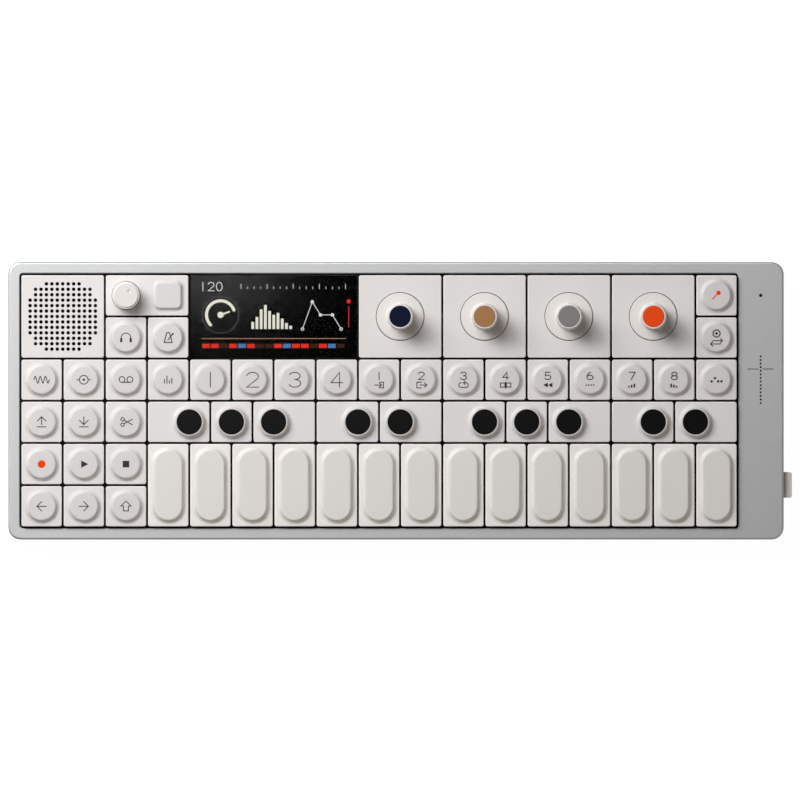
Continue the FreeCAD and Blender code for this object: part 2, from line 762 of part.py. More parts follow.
# Turning controls. Each is drawn about its own axis, with the tile's upper face at height zero.
def make_encoder_knob():
    body = new_body("encoder_knob_shape")
    top = "encoder_height - encoder_rim_drop"
    grip = turned(
        body,
        "grip",
        (
            ("0", "-encoder_disc_thickness"),
            ("encoder_disc_radius", "-encoder_disc_thickness"),
            ("encoder_disc_radius", "0"),
            ("encoder_foot_radius", "0"),
            ("encoder_top_radius", top),
            ("0", top),
        ),
    )
    doc.recompute([grip])
    crest = grip.Shape.BoundBox.ZMax
    crest_edges = edges_where(grip, lambda edge: is_level(edge, crest))
    rim = fillet(body, "rim", grip, crest_edges, "encoder_rim_fillet")
    disc = grip.Shape.BoundBox.XMax
    foot_edges = edges_where(rim, lambda edge: is_level(edge, 0.0) and edge.BoundBox.XMax < disc - 1e-3)
    foot = fillet(body, "root", rim, foot_edges, "encoder_foot_fillet")
    disc_edges = edges_where(foot, lambda edge: is_level(edge, 0.0) and edge.BoundBox.XMax > disc - 1e-3)
    fillet(body, "disc_rim", foot, disc_edges, "tile_edge")
    cap_seat = draw_circle(new_sketch(body, "cap_seat", z=top), "cap_radius + inlay_gap")
    pocket(body, cap_seat, "cap_pocket", "cap_depth - encoder_rim_drop")
    bore = new_sketch(body, "bore_outline", z="-encoder_disc_thickness")
    draw_circle(bore, "shaft_radius + inlay_gap")
    pocket(body, bore, "bore", "encoder_disc_thickness + shaft_socket", up=True)
    return body


def make_encoder_cap():
    body = new_body("encoder_cap_shape")
    outline = draw_circle(new_sketch(body, "cap_outline", z="encoder_height - cap_depth"), "cap_radius")
    disc = pad(body, outline, "disc", "cap_depth")
    doc.recompute([disc])
    top = disc.Shape.BoundBox.ZMax
    top_edges = edges_where(disc, lambda edge: is_level(edge, top))
    fillet(body, "disc_rim", disc, top_edges, "encoder_rim_fillet")
    return body


def make_shaft(label, radius, top):
    """Steel spindle from just above the board up into the knob."""
    body = new_body(label)
    length = f"({TILE_TOP} - {BOARD_TOP} - shaft_end_gap)"
    outline = draw_circle(new_sketch(body, "shaft_outline", z=f"-{length}"), radius)
    pad(body, outline, "shaft", f"{length} + {top}")
    return body


def make_housing(label, width, bushing, bore):
    """Rotary control's housing and bushing, drawn from the board's upper face up."""
    body = new_body(label)
    outline = draw_rectangle(new_sketch(body, "housing_outline"), width, width)
    pad(body, outline, "housing", f"{GUIDE_BASE} - {BOARD_TOP} - housing_gap")
    neck = draw_circle(new_sketch(body, "bushing_outline"), bushing)
    pad(body, neck, "bushing", f"{GUIDE_TOP} - {BOARD_TOP} + bushing_rise")
    hole = new_sketch(body, "bore_outline", z="shaft_end_gap - housing_gap")
    draw_circle(hole, f"{bore} + running_gap")
    pocket(body, hole, "bore", f"{TILE_TOP} - {BOARD_TOP}", up=True)
    return body


knob_shape = make_encoder_knob()
cap_shape = make_encoder_cap()
spindle_shape = make_shaft("encoder_shaft_shape", "shaft_radius", "shaft_socket - inlay_gap")
housing_shape = make_housing("encoder_housing_shape", "housing_width", "bushing_radius", "shaft_radius")
encoders = []
for node, column in ENCODERS.items():
    spot = (column_x(column), row_y(ENCODER_ROW), TILE_TOP)
    pieces = [
        clone(shape, f"{node}_{piece}", *spot)
        for piece, shape in (("grip", knob_shape), ("cap", cap_shape), ("shaft", spindle_shape))
    ]
    encoders.append(group(node, pieces))
encoder_bodies = group(
    "encoder_bodies",
    [
        clone(housing_shape, f"housing_of_{node}", column_x(column), row_y(ENCODER_ROW), BOARD_TOP)
        for node, column in ENCODERS.items()
    ],
)

volume_spot = (column_x(VOLUME_PLACE[0]), row_y(VOLUME_PLACE[1]))
volume_grip = new_body("volume_grip")
volume_turned = turned(
    volume_grip,
    "grip",
    (
        ("0", "-volume_sink"),
        ("volume_radius", "-volume_sink"),
        ("volume_radius", "shoulder_height"),
        ("crest_foot_radius", "shoulder_height"),
        ("crest_top_radius", "volume_height"),
        ("0", "volume_height"),
    ),
)
doc.recompute([volume_turned])
volume_crest = volume_turned.Shape.BoundBox.ZMax
volume_reach = volume_turned.Shape.BoundBox.XMax
volume_edges = edges_where(volume_turned, lambda edge: is_level(edge, volume_crest))
volume_crown = fillet(volume_grip, "volume_crown", volume_turned, volume_edges, "volume_crown")
shoulder_edges = edges_where(
    volume_crown, lambda edge: edge.BoundBox.XMax > volume_reach - 1e-3 and edge.BoundBox.ZMin > 1e-3
)
fillet(volume_grip, "shoulder_edge", volume_crown, shoulder_edges, "shoulder_edge")
volume_bore = draw_circle(
    new_sketch(volume_grip, "bore_outline", z="-volume_sink"), "volume_shaft_radius + inlay_gap"
)
pocket(volume_grip, volume_bore, "bore", "volume_height + volume_sink - panel_skin", up=True)
place(volume_grip, *volume_spot, TILE_TOP)
dimple = named(doc.addObject("Part::Sphere", "dimple"), "dimple")
bind(dimple, Radius="dimple_radius")
place(
    dimple,
    f"{volume_spot[0]} + dimple_x",
    f"{volume_spot[1]} + dimple_y",
    f"{TILE_TOP} + volume_height - dimple_depth + dimple_radius",
)
volume_shaft = make_shaft("volume_shaft", "volume_shaft_radius", "volume_height - panel_skin - inlay_gap")
place(volume_shaft, *volume_spot, TILE_TOP)
volume_knob = group("volume_knob", [cut("dimpled_grip", volume_grip, dimple), volume_shaft])
volume_pot = make_housing(
    "volume_pot", "volume_housing_width", "volume_bushing_radius", "volume_shaft_radius"
)
place(volume_pot, *volume_spot, BOARD_TOP)


# Key action: guide plate, rubber mat and board.
STEM_PLACES = [(column + 0.5, row + 0.5) for cells in BUTTONS.values() for column, row in cells]
STEM_PLACES += [(column, SHORT_KEY_ROW) for column, left, right in BLACK_KEYS]
STEM_PLACES += [
    (FIRST_WHITE_COLUMN + index - 0.5, row) for index in range(1, WHITE_KEYS + 1) for row in LONG_KEY_ROWS
]

guide_plate = new_body("guide_plate")
place(guide_plate, FIELD_X, "0", GUIDE_BASE)
plate_outline = new_sketch(guide_plate, "plate_outline")
plate_sizes = (f"{WINDOW_LENGTH} - 2 * seat_gap", f"{WINDOW_DEPTH} - 2 * seat_gap")
draw_rounded_rectangle(plate_outline, *plate_sizes, "window_corner - seat_gap")
pad(guide_plate, plate_outline, "plate", "guide_thickness")
guide_posts = [
    rod(
        f"guide_post_{column}_{row}",
        "post_radius",
        f"{GUIDE_TOP} - {BOARD_TOP}",
        column_x(column),
        row_y(row),
        BOARD_TOP,
    )
    for column, row in GUIDE_POSTS
]
STEM_HOLE = "stem_width + 2 * guide_gap"
guide_cutters = [
    block(
        f"stem_hole_{index}",
        STEM_HOLE,
        STEM_HOLE,
        "3 * guide_thickness",
        column_x(column),
        row_y(row),
        f"{GUIDE_BASE} - guide_thickness",
    )
    for index, (column, row) in enumerate(STEM_PLACES, start=1)
]
round_guide_holes = [(column, ENCODER_ROW, "bushing_radius + housing_gap") for column in ENCODERS.values()]
round_guide_holes.append((*VOLUME_PLACE, "volume_bushing_radius + housing_gap"))
round_guide_holes.append((*SPEAKER_PLACE, "cone_radius"))
guide_cutters += [
    rod(
        f"guide_hole_{index}",
        radius,
        "3 * guide_thickness",
        column_x(column),
        row_y(row),
        f"{GUIDE_BASE} - guide_thickness",
    )
    for index, (column, row, radius) in enumerate(round_guide_holes, start=1)
]
guide_blank = fused("guide_blank", [guide_plate, *guide_posts])
guide_frame = cut("key_guide_frame", guide_blank, group("guide_cutters", guide_cutters))

# The mat has one sheet under the four front rows and one under each group of rear buttons.
MAT_SHEETS = ((0, 2, 17, 6), (2, 1, 4, 2), (16, 0, 17, 2))
MAT_MARGIN = "(side_wall - rim_width + board_gap)"


def make_mat_sheet(index, left, rear, right, front):
    """Sheet over a block of the key grid, with its domes, cleared round the guide posts."""
    mat_sheet = new_body(f"mat_sheet_{index}")
    place(mat_sheet, column_x((left + right) / 2), row_y((rear + front) / 2), BOARD_TOP)
    spans = [f"{cells} * key_pitch - 2 * {MAT_MARGIN}" for cells in (right - left, front - rear)]
    outline = draw_rounded_rectangle(new_sketch(mat_sheet, "sheet_outline"), *spans, "cavity_corner")
    pad(mat_sheet, outline, "sheet", "mat_thickness")
    domes = [
        cone(
            f"dome_{index}_{number}",
            "dome_radius",
            "dome_radius - dome_height",
            "dome_height",
            column_x(column),
            row_y(row),
            MAT_TOP,
        )
        for number, (column, row) in enumerate(STEM_PLACES)
        if left < column < right and rear < row < front
    ]
    mat = fused(f"mat_{index}", [mat_sheet, *domes])
    posts = [place for place in GUIDE_POSTS if left <= place[0] <= right and rear <= place[1] <= front]
    if not posts:
        return mat
    clearances = [
        rod(
            f"post_clearance_{index}_{column}_{row}",
            "post_radius + post_gap",
            "2 * mat_thickness",
            column_x(column),
            row_y(row),
            f"{BOARD_TOP} - mat_thickness / 2",
        )
        for column, row in posts
    ]
    return cut(f"cleared_mat_{index}", mat, group(f"post_clearances_{index}", clearances))


mat_sheets = [make_mat_sheet(index, *area) for index, area in enumerate(MAT_SHEETS, start=1)]
key_mat = group("key_mat", mat_sheets)

SLIDER_ROOM = "(slider_length + slider_travel + 2 * board_gap)"
CARRIAGE_BACK = f"({CAVITY_RIGHT} - slide_gap - carriage_depth)"
SWITCH_BACK = f"({CARRIAGE_BACK} - slide_gap - switch_depth)"


def board_notch(label, depth, width, y):
    """Bay in the board's right edge; depth is measured from the inner face of the end wall."""
    return block(
        label,
        f"2 * ({depth})",
        width,
        "3 * board_thickness",
        CAVITY_RIGHT,
        y,
        f"{BOARD_BASE} - board_thickness",
    )


board_blank = new_body("board_blank")
place(board_blank, CAVITY_X, "0", BOARD_BASE)
board_outline = new_sketch(board_blank, "board_outline")
board_sizes = (f"{CAVITY_LENGTH} - 2 * board_gap", f"{CAVITY_DEPTH} - 2 * board_gap")
draw_rounded_rectangle(board_outline, *board_sizes, "cavity_corner")
pad(board_blank, board_outline, "laminate", "board_thickness")
board_cutters = [
    board_notch(f"jack_bay_{index}", "jack_depth + board_gap", "jack_width + 2 * board_gap", y)
    for index, y in enumerate(JACK_PLACES, start=1)
]
usb_bay_depth = "usb_depth - end_wall + port_sink + board_gap"
board_cutters.append(board_notch("usb_bay", usb_bay_depth, "usb_width + 2 * board_gap", USB_Y))
board_cutters.append(
    board_notch("switch_bay", f"{CAVITY_RIGHT} - {SWITCH_BACK} + board_gap", SLIDER_ROOM, SLIDER_RUN_Y)
)
speaker_bay_size = "2 * (rim_width + key_pitch - side_wall + speaker_radius + board_gap)"
board_cutters.append(
    block(
        "speaker_bay",
        speaker_bay_size,
        speaker_bay_size,
        "3 * board_thickness",
        CAVITY_LEFT,
        f"{CAVITY_DEPTH} / 2",
        f"{BOARD_BASE} - board_thickness",
    )
)
circuit_board = cut("circuit_board", board_blank, group("board_cutters", board_cutters))

battery_pack = new_body("battery_pack")
place(battery_pack, f"{CAVITY_LEFT} + battery_end_inset + battery_length / 2", "0", COVER_TOP)
battery_outline = new_sketch(battery_pack, "cell_outline")
draw_rounded_rectangle(battery_outline, "battery_length", "battery_width", "battery_corner")
pad(battery_pack, battery_outline, "cell", f"{BOARD_BASE} - {COVER_TOP} - battery_gap")

# The driver hangs under the guide plate, behind its sound hole, with its magnet downwards.
speaker_driver = new_body("speaker_driver")
place(speaker_driver, *speaker_spot, GUIDE_BASE)
turned(
    speaker_driver,
    "driver",
    (
        ("0", "-cone_depth"),
        ("magnet_radius / 2", "-cone_depth"),
        ("cone_radius", "0"),
        ("speaker_radius", "0"),
        ("speaker_radius", "-speaker_flange"),
        ("cone_radius", "-speaker_flange"),
        ("magnet_radius", "-basket_depth"),
        ("magnet_radius", "-basket_depth - magnet_depth"),
        ("0", "-basket_depth - magnet_depth"),
    ),
)


# The right-hand end.
def make_jack():
    """Socket drawn from the case's end face, with its bore along X."""
    body = new_body("jack_shape")
    inner = "(end_wall + port_gap)"
    housing = new_sketch(body, "housing_outline", plane="YZ_Plane", x=f"-{inner}")
    draw_rectangle(housing, "jack_width", "jack_height")
    pad(body, housing, "housing", "jack_depth - port_gap", down=True)
    nose = new_sketch(body, "nose_outline", plane="YZ_Plane", x="-port_sink")
    draw_circle(nose, "jack_nose_radius")
    pad(body, nose, "nose", f"{inner} - port_sink", down=True)
    wings = new_sketch(
        body,
        "wing_outline",
        plane="YZ_Plane",
        x=f"-{inner}",
        z="board_thickness / 2 + wing_height / 2",
    )
    draw_rectangle(wings, "jack_width + 2 * wing_reach", "wing_height")
    pad(body, wings, "wings", "jack_depth - port_gap - board_gap", down=True)
    bore = new_sketch(body, "bore_outline", plane="YZ_Plane", x="-port_sink")
    draw_circle(bore, "jack_bore_radius")
    pocket(body, bore, "bore", "jack_bore_depth")
    return body


jack_shape = make_jack()
audio_jacks = group(
    "audio_jacks",
    [
        clone(jack_shape, f"audio_jack_{index}", CASE_RIGHT, y, PORT_LEVEL)
        for index, y in enumerate(JACK_PLACES, start=1)
    ],
)


def make_usb_socket():
    """Thin shell with a tongue inside, drawn from the case's end face."""
    body = new_body("usb_socket")
    shell = new_sketch(body, "shell_outline", plane="YZ_Plane", x="-port_sink")
    draw_slot(shell, "usb_width", "usb_height")
    pad(body, shell, "shell", "usb_depth", down=True)
    wings = new_sketch(
        body,
        "wing_outline",
        plane="YZ_Plane",
        x="-end_wall - port_gap",
        z="board_thickness / 2 + wing_height / 2",
    )
    draw_rectangle(wings, "usb_width + 2 * wing_reach", "wing_height")
    pad(body, wings, "wings", "usb_depth - end_wall - port_gap", down=True)
    mouth = new_sketch(body, "mouth_outline", plane="YZ_Plane", x="-port_sink")
    draw_slot(mouth, "usb_width - 2 * usb_wall", "usb_height - 2 * usb_wall")
    pocket(body, mouth, "mouth", "usb_mouth")
    tongue = new_sketch(body, "tongue_outline", plane="YZ_Plane", x="-port_sink - usb_mouth")
    draw_rectangle(tongue, "tongue_width", "tongue_height")
    pad(body, tongue, "tongue", "tongue_length")
    return place(body, CASE_RIGHT, USB_Y, PORT_LEVEL)


usb_socket = make_usb_socket()


def make_slider():
    """Tab that stands out of the end wall, on a wider carriage inside that keeps it in."""
    body = new_body("power_slider")
    inner = "(end_wall + slide_gap)"
    tab = new_sketch(body, "tab_outline", plane="YZ_Plane", x="slider_reach")
    draw_rectangle(tab, "slider_length", "slider_height")
    arm = pad(body, tab, "tab", f"slider_reach + {inner}", down=True)
    doc.recompute([arm])
    tip = arm.Shape.BoundBox.XMax
    corners = edges_where(
        arm, lambda edge: edge.BoundBox.XMin > tip - 1e-3 and edge.BoundBox.YLength < 1e-3
    )
    rounded = fillet(body, "tab_corners", arm, corners, "slider_corner")
    rims = edges_where(
        rounded,
        lambda edge: edge.BoundBox.XMax > tip - 1e-3
        and edge.BoundBox.ZLength < 1e-3
        and edge.BoundBox.XLength < edge.BoundBox.YLength * 2,
    )
    fillet(body, "tab_rims", rounded, rims, "slider_edge")
    carriage = new_sketch(body, "carriage_outline", plane="YZ_Plane", x=f"-{inner}")
    draw_rectangle(carriage, "slider_length", "slider_height + 2 * carriage_lip")
    pad(body, carriage, "carriage", "carriage_depth", down=True)
    return place(body, CASE_RIGHT, SLIDER_Y, SLIDER_LEVEL)


power_slider = make_slider()
switch_housing = block(
    "switch_housing",
    "switch_depth",
    "slider_length + slider_travel",
    f"{SLIDER_LEVEL} + slider_height / 2 + carriage_lip - {BOARD_TOP}",
    f"{SWITCH_BACK} + switch_depth / 2",
    SLIDER_RUN_Y,
    BOARD_TOP,
)
switch_wings = block(
    "switch_wings",
    "switch_depth - 2 * board_gap",
    f"{SLIDER_ROOM} + 2 * wing_reach",
    "wing_height",
    f"{SWITCH_BACK} + switch_depth / 2",
    SLIDER_RUN_Y,
    BOARD_TOP,
)
switch_body = fused("switch_body", [switch_housing, switch_wings])

METER_Y = row_y(METER_ROW)
METER_RUN = f"({METER_DOTS - 1} * meter_pitch)"
meter_places = [f"{METER_Y} + {index - (METER_DOTS - 1) / 2} * meter_pitch" for index in range(METER_DOTS)]
light_bar = block(
    "light_bar",
    "meter_bar_width",
    f"{METER_RUN} + meter_bar_width",
    "meter_bar_height",
    LAND_X,
    METER_Y,
    f"{ROOF_BASE} - meter_bar_height",
)
light_pins = [
    rod(
        f"light_pin_{index}",
        "meter_pin_radius",
        "land_roof + meter_bar_height / 2 - port_sink / 2",
        LAND_X,
        y,
        f"{ROOF_BASE} - meter_bar_height / 2",
    )
    for index, y in enumerate(meter_places, start=1)
]
lamp_strip = block(
    "lamp_strip",
    "meter_bar_width + meter_strip_height",
    f"{METER_RUN} + 2 * meter_bar_width",
    "meter_strip_height",
    LAND_X,
    METER_Y,
    f"{ROOF_BASE} - meter_bar_height - meter_strip_height",
)
MIC_Y = row_y(MICROPHONE_ROW)
microphone = rod("microphone", "mic_radius", "mic_height", LAND_X, MIC_Y, f"{ROOF_BASE} - mic_height")
light_guide = fused("light_guide", [light_bar, *light_pins])
meter_board = group("meter_board", [light_guide, lamp_strip, microphone])


# The cover, its screws and its feet.
screw_shape = new_body("screw_shape")
turned(
    screw_shape,
    "screw",
    (
        ("0", "0"),
        ("screw_head_radius", "0"),
        ("screw_radius", "screw_head_height"),
        ("screw_radius", "screw_length"),
        ("0", "screw_length"),
    ),
)
socket = add_feature(screw_shape, "SubtractivePrism", "hexagon_socket", Polygon=SOCKET_SIDES)
bind(socket, Circumradius="socket_radius", Height="socket_depth")

screws = []
screw_cutters = []
for side in (-1, 1):
    for index in range(SCREWS_PER_SIDE):
        tag = f"{'front' if side < 0 else 'rear'}_{index + 1}"
        along = index / (SCREWS_PER_SIDE - 1) - 0.5
        x = f"{CASE_X} + {along} * ({CASE_LENGTH} - 2 * screw_end_inset)"
        y = f"{side} * ({CASE_DEPTH} / 2 - screw_inset)"
        screws.append(clone(screw_shape, f"case_screw_{tag}", x, y, "foot_drop"))
        head = cone(
            f"head_room_{tag}",
            "screw_head_radius + screw_gap",
            "screw_radius + screw_gap",
            "screw_head_height",
            x,
            y,
            "foot_drop",
        )
        shank = rod(
            f"shank_room_{tag}", "screw_radius + screw_gap", "screw_length + board_gap", x, y, "foot_drop"
        )
        screw_cutters.append(fused(f"screw_room_{tag}", [head, shank]))
case_screws = group("case_screws", screws)
screw_rooms = group("screw_rooms", screw_cutters)

foot_shape = new_body("foot_shape")
foot_outline = draw_circle(new_sketch(foot_shape, "foot_outline"), "foot_radius")
foot_pad = pad(foot_shape, foot_outline, "foot", "foot_drop + foot_seat")
foot_edges = edges_where(foot_pad, lambda edge: is_level(edge, 0.0))
fillet(foot_shape, "foot_rim", foot_pad, foot_edges, "foot_edge")

cover_plate = new_body("cover_plate")
place(cover_plate, CASE_X, "0", "foot_drop")
cover_outline = draw_rounded_rectangle(
    new_sketch(cover_plate, "cover_outline"),
    f"{CASE_LENGTH} - 2 * cover_lip - 2 * seat_gap",
    f"{CASE_DEPTH} - 2 * cover_lip - 2 * seat_gap",
    "case_corner - cover_lip - seat_gap",
)
pad(cover_plate, cover_outline, "plate", "cover_thickness")
feet = []
for index, (across, back) in enumerate(((-1, -1), (1, -1), (1, 1), (-1, 1)), start=1):
    x = f"{across} * ({CASE_LENGTH} / 2 - foot_end_inset)"
    y = f"{back} * ({CASE_DEPTH} / 2 - foot_side_inset)"
    seat = draw_circle(new_sketch(cover_plate, f"foot_seat_{index}", x=x, y=y), "foot_radius + foot_gap")
    pocket(cover_plate, seat, f"foot_pocket_{index}", "foot_seat", up=True)
    feet.append(clone(foot_shape, f"rubber_foot_{index}", f"{CASE_X} + {x}", y))
rubber_feet = group("rubber_feet", feet)
bottom_cover = cut("bottom_cover", cover_plate, screw_rooms)


# The case, milled from one block, drawn from its underside up and about its own middle.
case_block = new_body("case_block")
place(case_block, CASE_X, "0", "foot_drop")
case_outline = draw_rounded_rectangle(
    new_sketch(case_block, "case_outline"), CASE_LENGTH, CASE_DEPTH, "case_corner"
)
billet = pad(case_block, case_outline, "billet", "case_height")
doc.recompute([billet])
case_crest = billet.Shape.BoundBox.ZMax
upper_rim = edges_where(billet, lambda edge: is_level(edge, case_crest))
eased = fillet(case_block, "upper_rim", billet, upper_rim, "case_edge")
lower_rim = edges_where(eased, lambda edge: is_level(edge, 0.0))
fillet(case_block, "lower_rim", eased, lower_rim, "base_edge")

window_outline = new_sketch(case_block, "window_outline", x=f"{FIELD_X} - {CASE_X}", z="case_height")
draw_rounded_rectangle(window_outline, WINDOW_LENGTH, WINDOW_DEPTH, "window_corner")
window = pocket(case_block, window_outline, "window", f"{CASE_TOP} - {GUIDE_BASE}")
doc.recompute([window])
window_rim = edges_where(
    window, lambda edge: is_level(edge, case_crest) and is_within(edge, window_outline.Shape.BoundBox)
)
chamfer = add_feature(case_block, "Chamfer", "window_rim", Base=(window, window_rim))
bind(chamfer, Size="window_edge")

cavity_outline = new_sketch(case_block, "cavity_outline", x=f"{CAVITY_X} - {CASE_X}")
draw_rounded_rectangle(cavity_outline, CAVITY_LENGTH, CAVITY_DEPTH, "cavity_corner")
pocket(case_block, cavity_outline, "cavity", f"{GUIDE_BASE} - foot_drop", up=True)
loft_outline = new_sketch(
    case_block, "land_pocket_outline", x=f"{LAND_X} - {CASE_X}", z=f"{GUIDE_BASE} - foot_drop - port_gap"
)
draw_rounded_rectangle(loft_outline, "land_width - 2 * end_wall", CAVITY_DEPTH, "cavity_corner")
pocket(case_block, loft_outline, "land_pocket", f"{ROOF_BASE} - {GUIDE_BASE} + port_gap", up=True)
recess_outline = draw_rounded_rectangle(
    new_sketch(case_block, "cover_recess_outline"),
    f"{CASE_LENGTH} - 2 * cover_lip",
    f"{CASE_DEPTH} - 2 * cover_lip",
    "case_corner - cover_lip",
)
pocket(case_block, recess_outline, "cover_recess", "cover_thickness", up=True)

END_FACE = f"{CASE_LENGTH} / 2"
WALL_CUT = "end_wall + case_corner"


def end_sketch(name, y, lift="0"):
    """Sketch on the case's right-hand end face, so far above the level of the sockets."""
    height = f"{PORT_LEVEL} - foot_drop + {lift}"
    return new_sketch(case_block, f"{name}_outline", plane="YZ_Plane", x=END_FACE, y=y, z=height)


for index, y in enumerate(JACK_PLACES, start=1):
    jack_hole = draw_circle(end_sketch(f"jack_hole_{index}", y), "jack_nose_radius + port_gap")
    pocket(case_block, jack_hole, f"jack_hole_{index}", WALL_CUT)
usb_hole_sizes = ("usb_width + 2 * port_gap", "usb_height + 2 * port_gap")
usb_hole = draw_slot(end_sketch("usb_hole", USB_Y), *usb_hole_sizes)
pocket(case_block, usb_hole, "usb_hole", WALL_CUT)
slot_length = "slider_length + slider_travel + 2 * slide_gap"
slider_slot = end_sketch("slider_slot", SLIDER_RUN_Y, "slider_lift")
draw_rectangle(slider_slot, slot_length, "slider_height + 2 * slide_gap")
pocket(case_block, slider_slot, "slider_slot", WALL_CUT)

CUT_BASE = f"{CASE_TOP} - 1.5 * land_roof"
roof_cutters = [
    rod(f"meter_hole_{index}", "meter_hole_radius", "2 * land_roof", LAND_X, y, CUT_BASE)
    for index, y in enumerate(meter_places, start=1)
]
roof_cutters.append(rod("microphone_hole", "mic_hole_radius", "2 * land_roof", LAND_X, MIC_Y, CUT_BASE))
upper_case = cut("upper_case", case_block, group("case_cutters", [screw_rooms, *roof_cutters]))


# Every node, in the order in which the instrument goes together.
NODES = [
    upper_case,
    bottom_cover,
    case_screws,
    rubber_feet,
    battery_pack,
    circuit_board,
    speaker_driver,
    audio_jacks,
    usb_socket,
    switch_body,
    power_slider,
    meter_board,
    encoder_bodies,
    volume_pot,
    key_mat,
    guide_frame,
    display_module,
    display_glass,
    speaker_grille,
    volume_panel,
    encoder_panels,
    *encoders,
    volume_knob,
    *buttons.values(),
    *black_keys,
    *white_keys,
]

doc.recompute()
for item in doc.Objects:
    if {"Invalid", "Error"} & set(item.State):
        raise RuntimeError(f"{item.Label} did not recompute: {item.State}")
os.makedirs("parts", exist_ok=True)
for node in NODES:
    if node.Shape.isNull() or not node.Shape.isValid():
        raise RuntimeError(f"{node.Label} has no valid shape")
    node.Shape.exportStep(f"parts/{node.Label}.step")
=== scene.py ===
"""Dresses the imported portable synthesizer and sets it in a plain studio, seen from straight above."""

import logging
import math
from collections.abc import Callable, Sequence
from dataclasses import dataclass, field, replace
from enum import Enum
from typing import ClassVar

import bpy
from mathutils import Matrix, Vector


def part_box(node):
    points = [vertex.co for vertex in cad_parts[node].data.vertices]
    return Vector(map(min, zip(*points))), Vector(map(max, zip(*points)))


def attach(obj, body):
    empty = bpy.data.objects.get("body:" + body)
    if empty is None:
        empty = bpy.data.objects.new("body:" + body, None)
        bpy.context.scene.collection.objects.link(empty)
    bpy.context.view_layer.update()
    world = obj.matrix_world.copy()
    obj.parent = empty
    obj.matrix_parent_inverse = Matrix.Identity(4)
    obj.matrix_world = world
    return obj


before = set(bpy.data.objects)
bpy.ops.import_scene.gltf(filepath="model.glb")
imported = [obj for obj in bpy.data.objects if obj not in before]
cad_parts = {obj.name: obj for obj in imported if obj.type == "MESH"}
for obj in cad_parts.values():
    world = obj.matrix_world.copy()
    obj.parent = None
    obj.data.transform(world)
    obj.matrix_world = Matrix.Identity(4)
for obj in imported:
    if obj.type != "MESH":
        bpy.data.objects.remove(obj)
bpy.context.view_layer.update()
log = logging.getLogger("synthesizer")

MM = 0.001
Point = tuple[float, float]
Span = tuple[float, float]
Tree = bpy.types.NodeTree
Socket = bpy.types.NodeSocket


def linear(hexa: str) -> tuple[float, float, float, float]:
    """Turns an sRGB colour to linear light.

    Args:
        hexa: Six hex digits.

    Returns:
        Red, green, blue and an alpha of 1, as a shader socket takes them.
    """
    channels = [int(hexa[place:place + 2], 16) / 255 for place in (0, 2, 4)]
    red, green, blue = (c / 12.92 if c <= 0.04045 else ((c + 0.055) / 1.055) ** 2.4 for c in channels)
    return red, green, blue, 1.0


def add_node(tree: Tree, kind: str, inputs: dict | None = None, **settings: object) -> bpy.types.Node:
    """Adds a node with its settings and links.

    Args:
        tree: The tree that takes the node.
        kind: The node's type.
        inputs: By input name or number, either a value or the output socket to link.
        settings: Values of the node's own properties, by name.

    Returns:
        The node.
    """
    node = tree.nodes.new(kind)
    for name, value in settings.items():
        setattr(node, name, value)
    for key, value in (inputs or {}).items():
        if isinstance(value, Socket):
            tree.links.new(value, node.inputs[key])
        else:
            node.inputs[key].default_value = value
    return node


def empty_tree(owner: bpy.types.Material | bpy.types.World) -> Tree:
    """Lets a material or a world use nodes, without those that it comes with.

    Args:
        owner: The material or world.

    Returns:
        Its empty tree.
    """
    owner.use_nodes = True
    owner.node_tree.nodes.clear()
    return owner.node_tree


def add_object(name: str, data: bpy.types.ID) -> bpy.types.Object:
    """Puts an object into the scene.

    Args:
        name: Its name.
        data: Its mesh, light or camera.

    Returns:
        The object.
    """
    added = bpy.data.objects.new(name, data)
    bpy.context.scene.collection.objects.link(added)
    return added


def per_metre(size_mm: float) -> float:
    """Scale of a noise texture whose features are that many millimetres wide."""
    return 1 / (size_mm * MM)


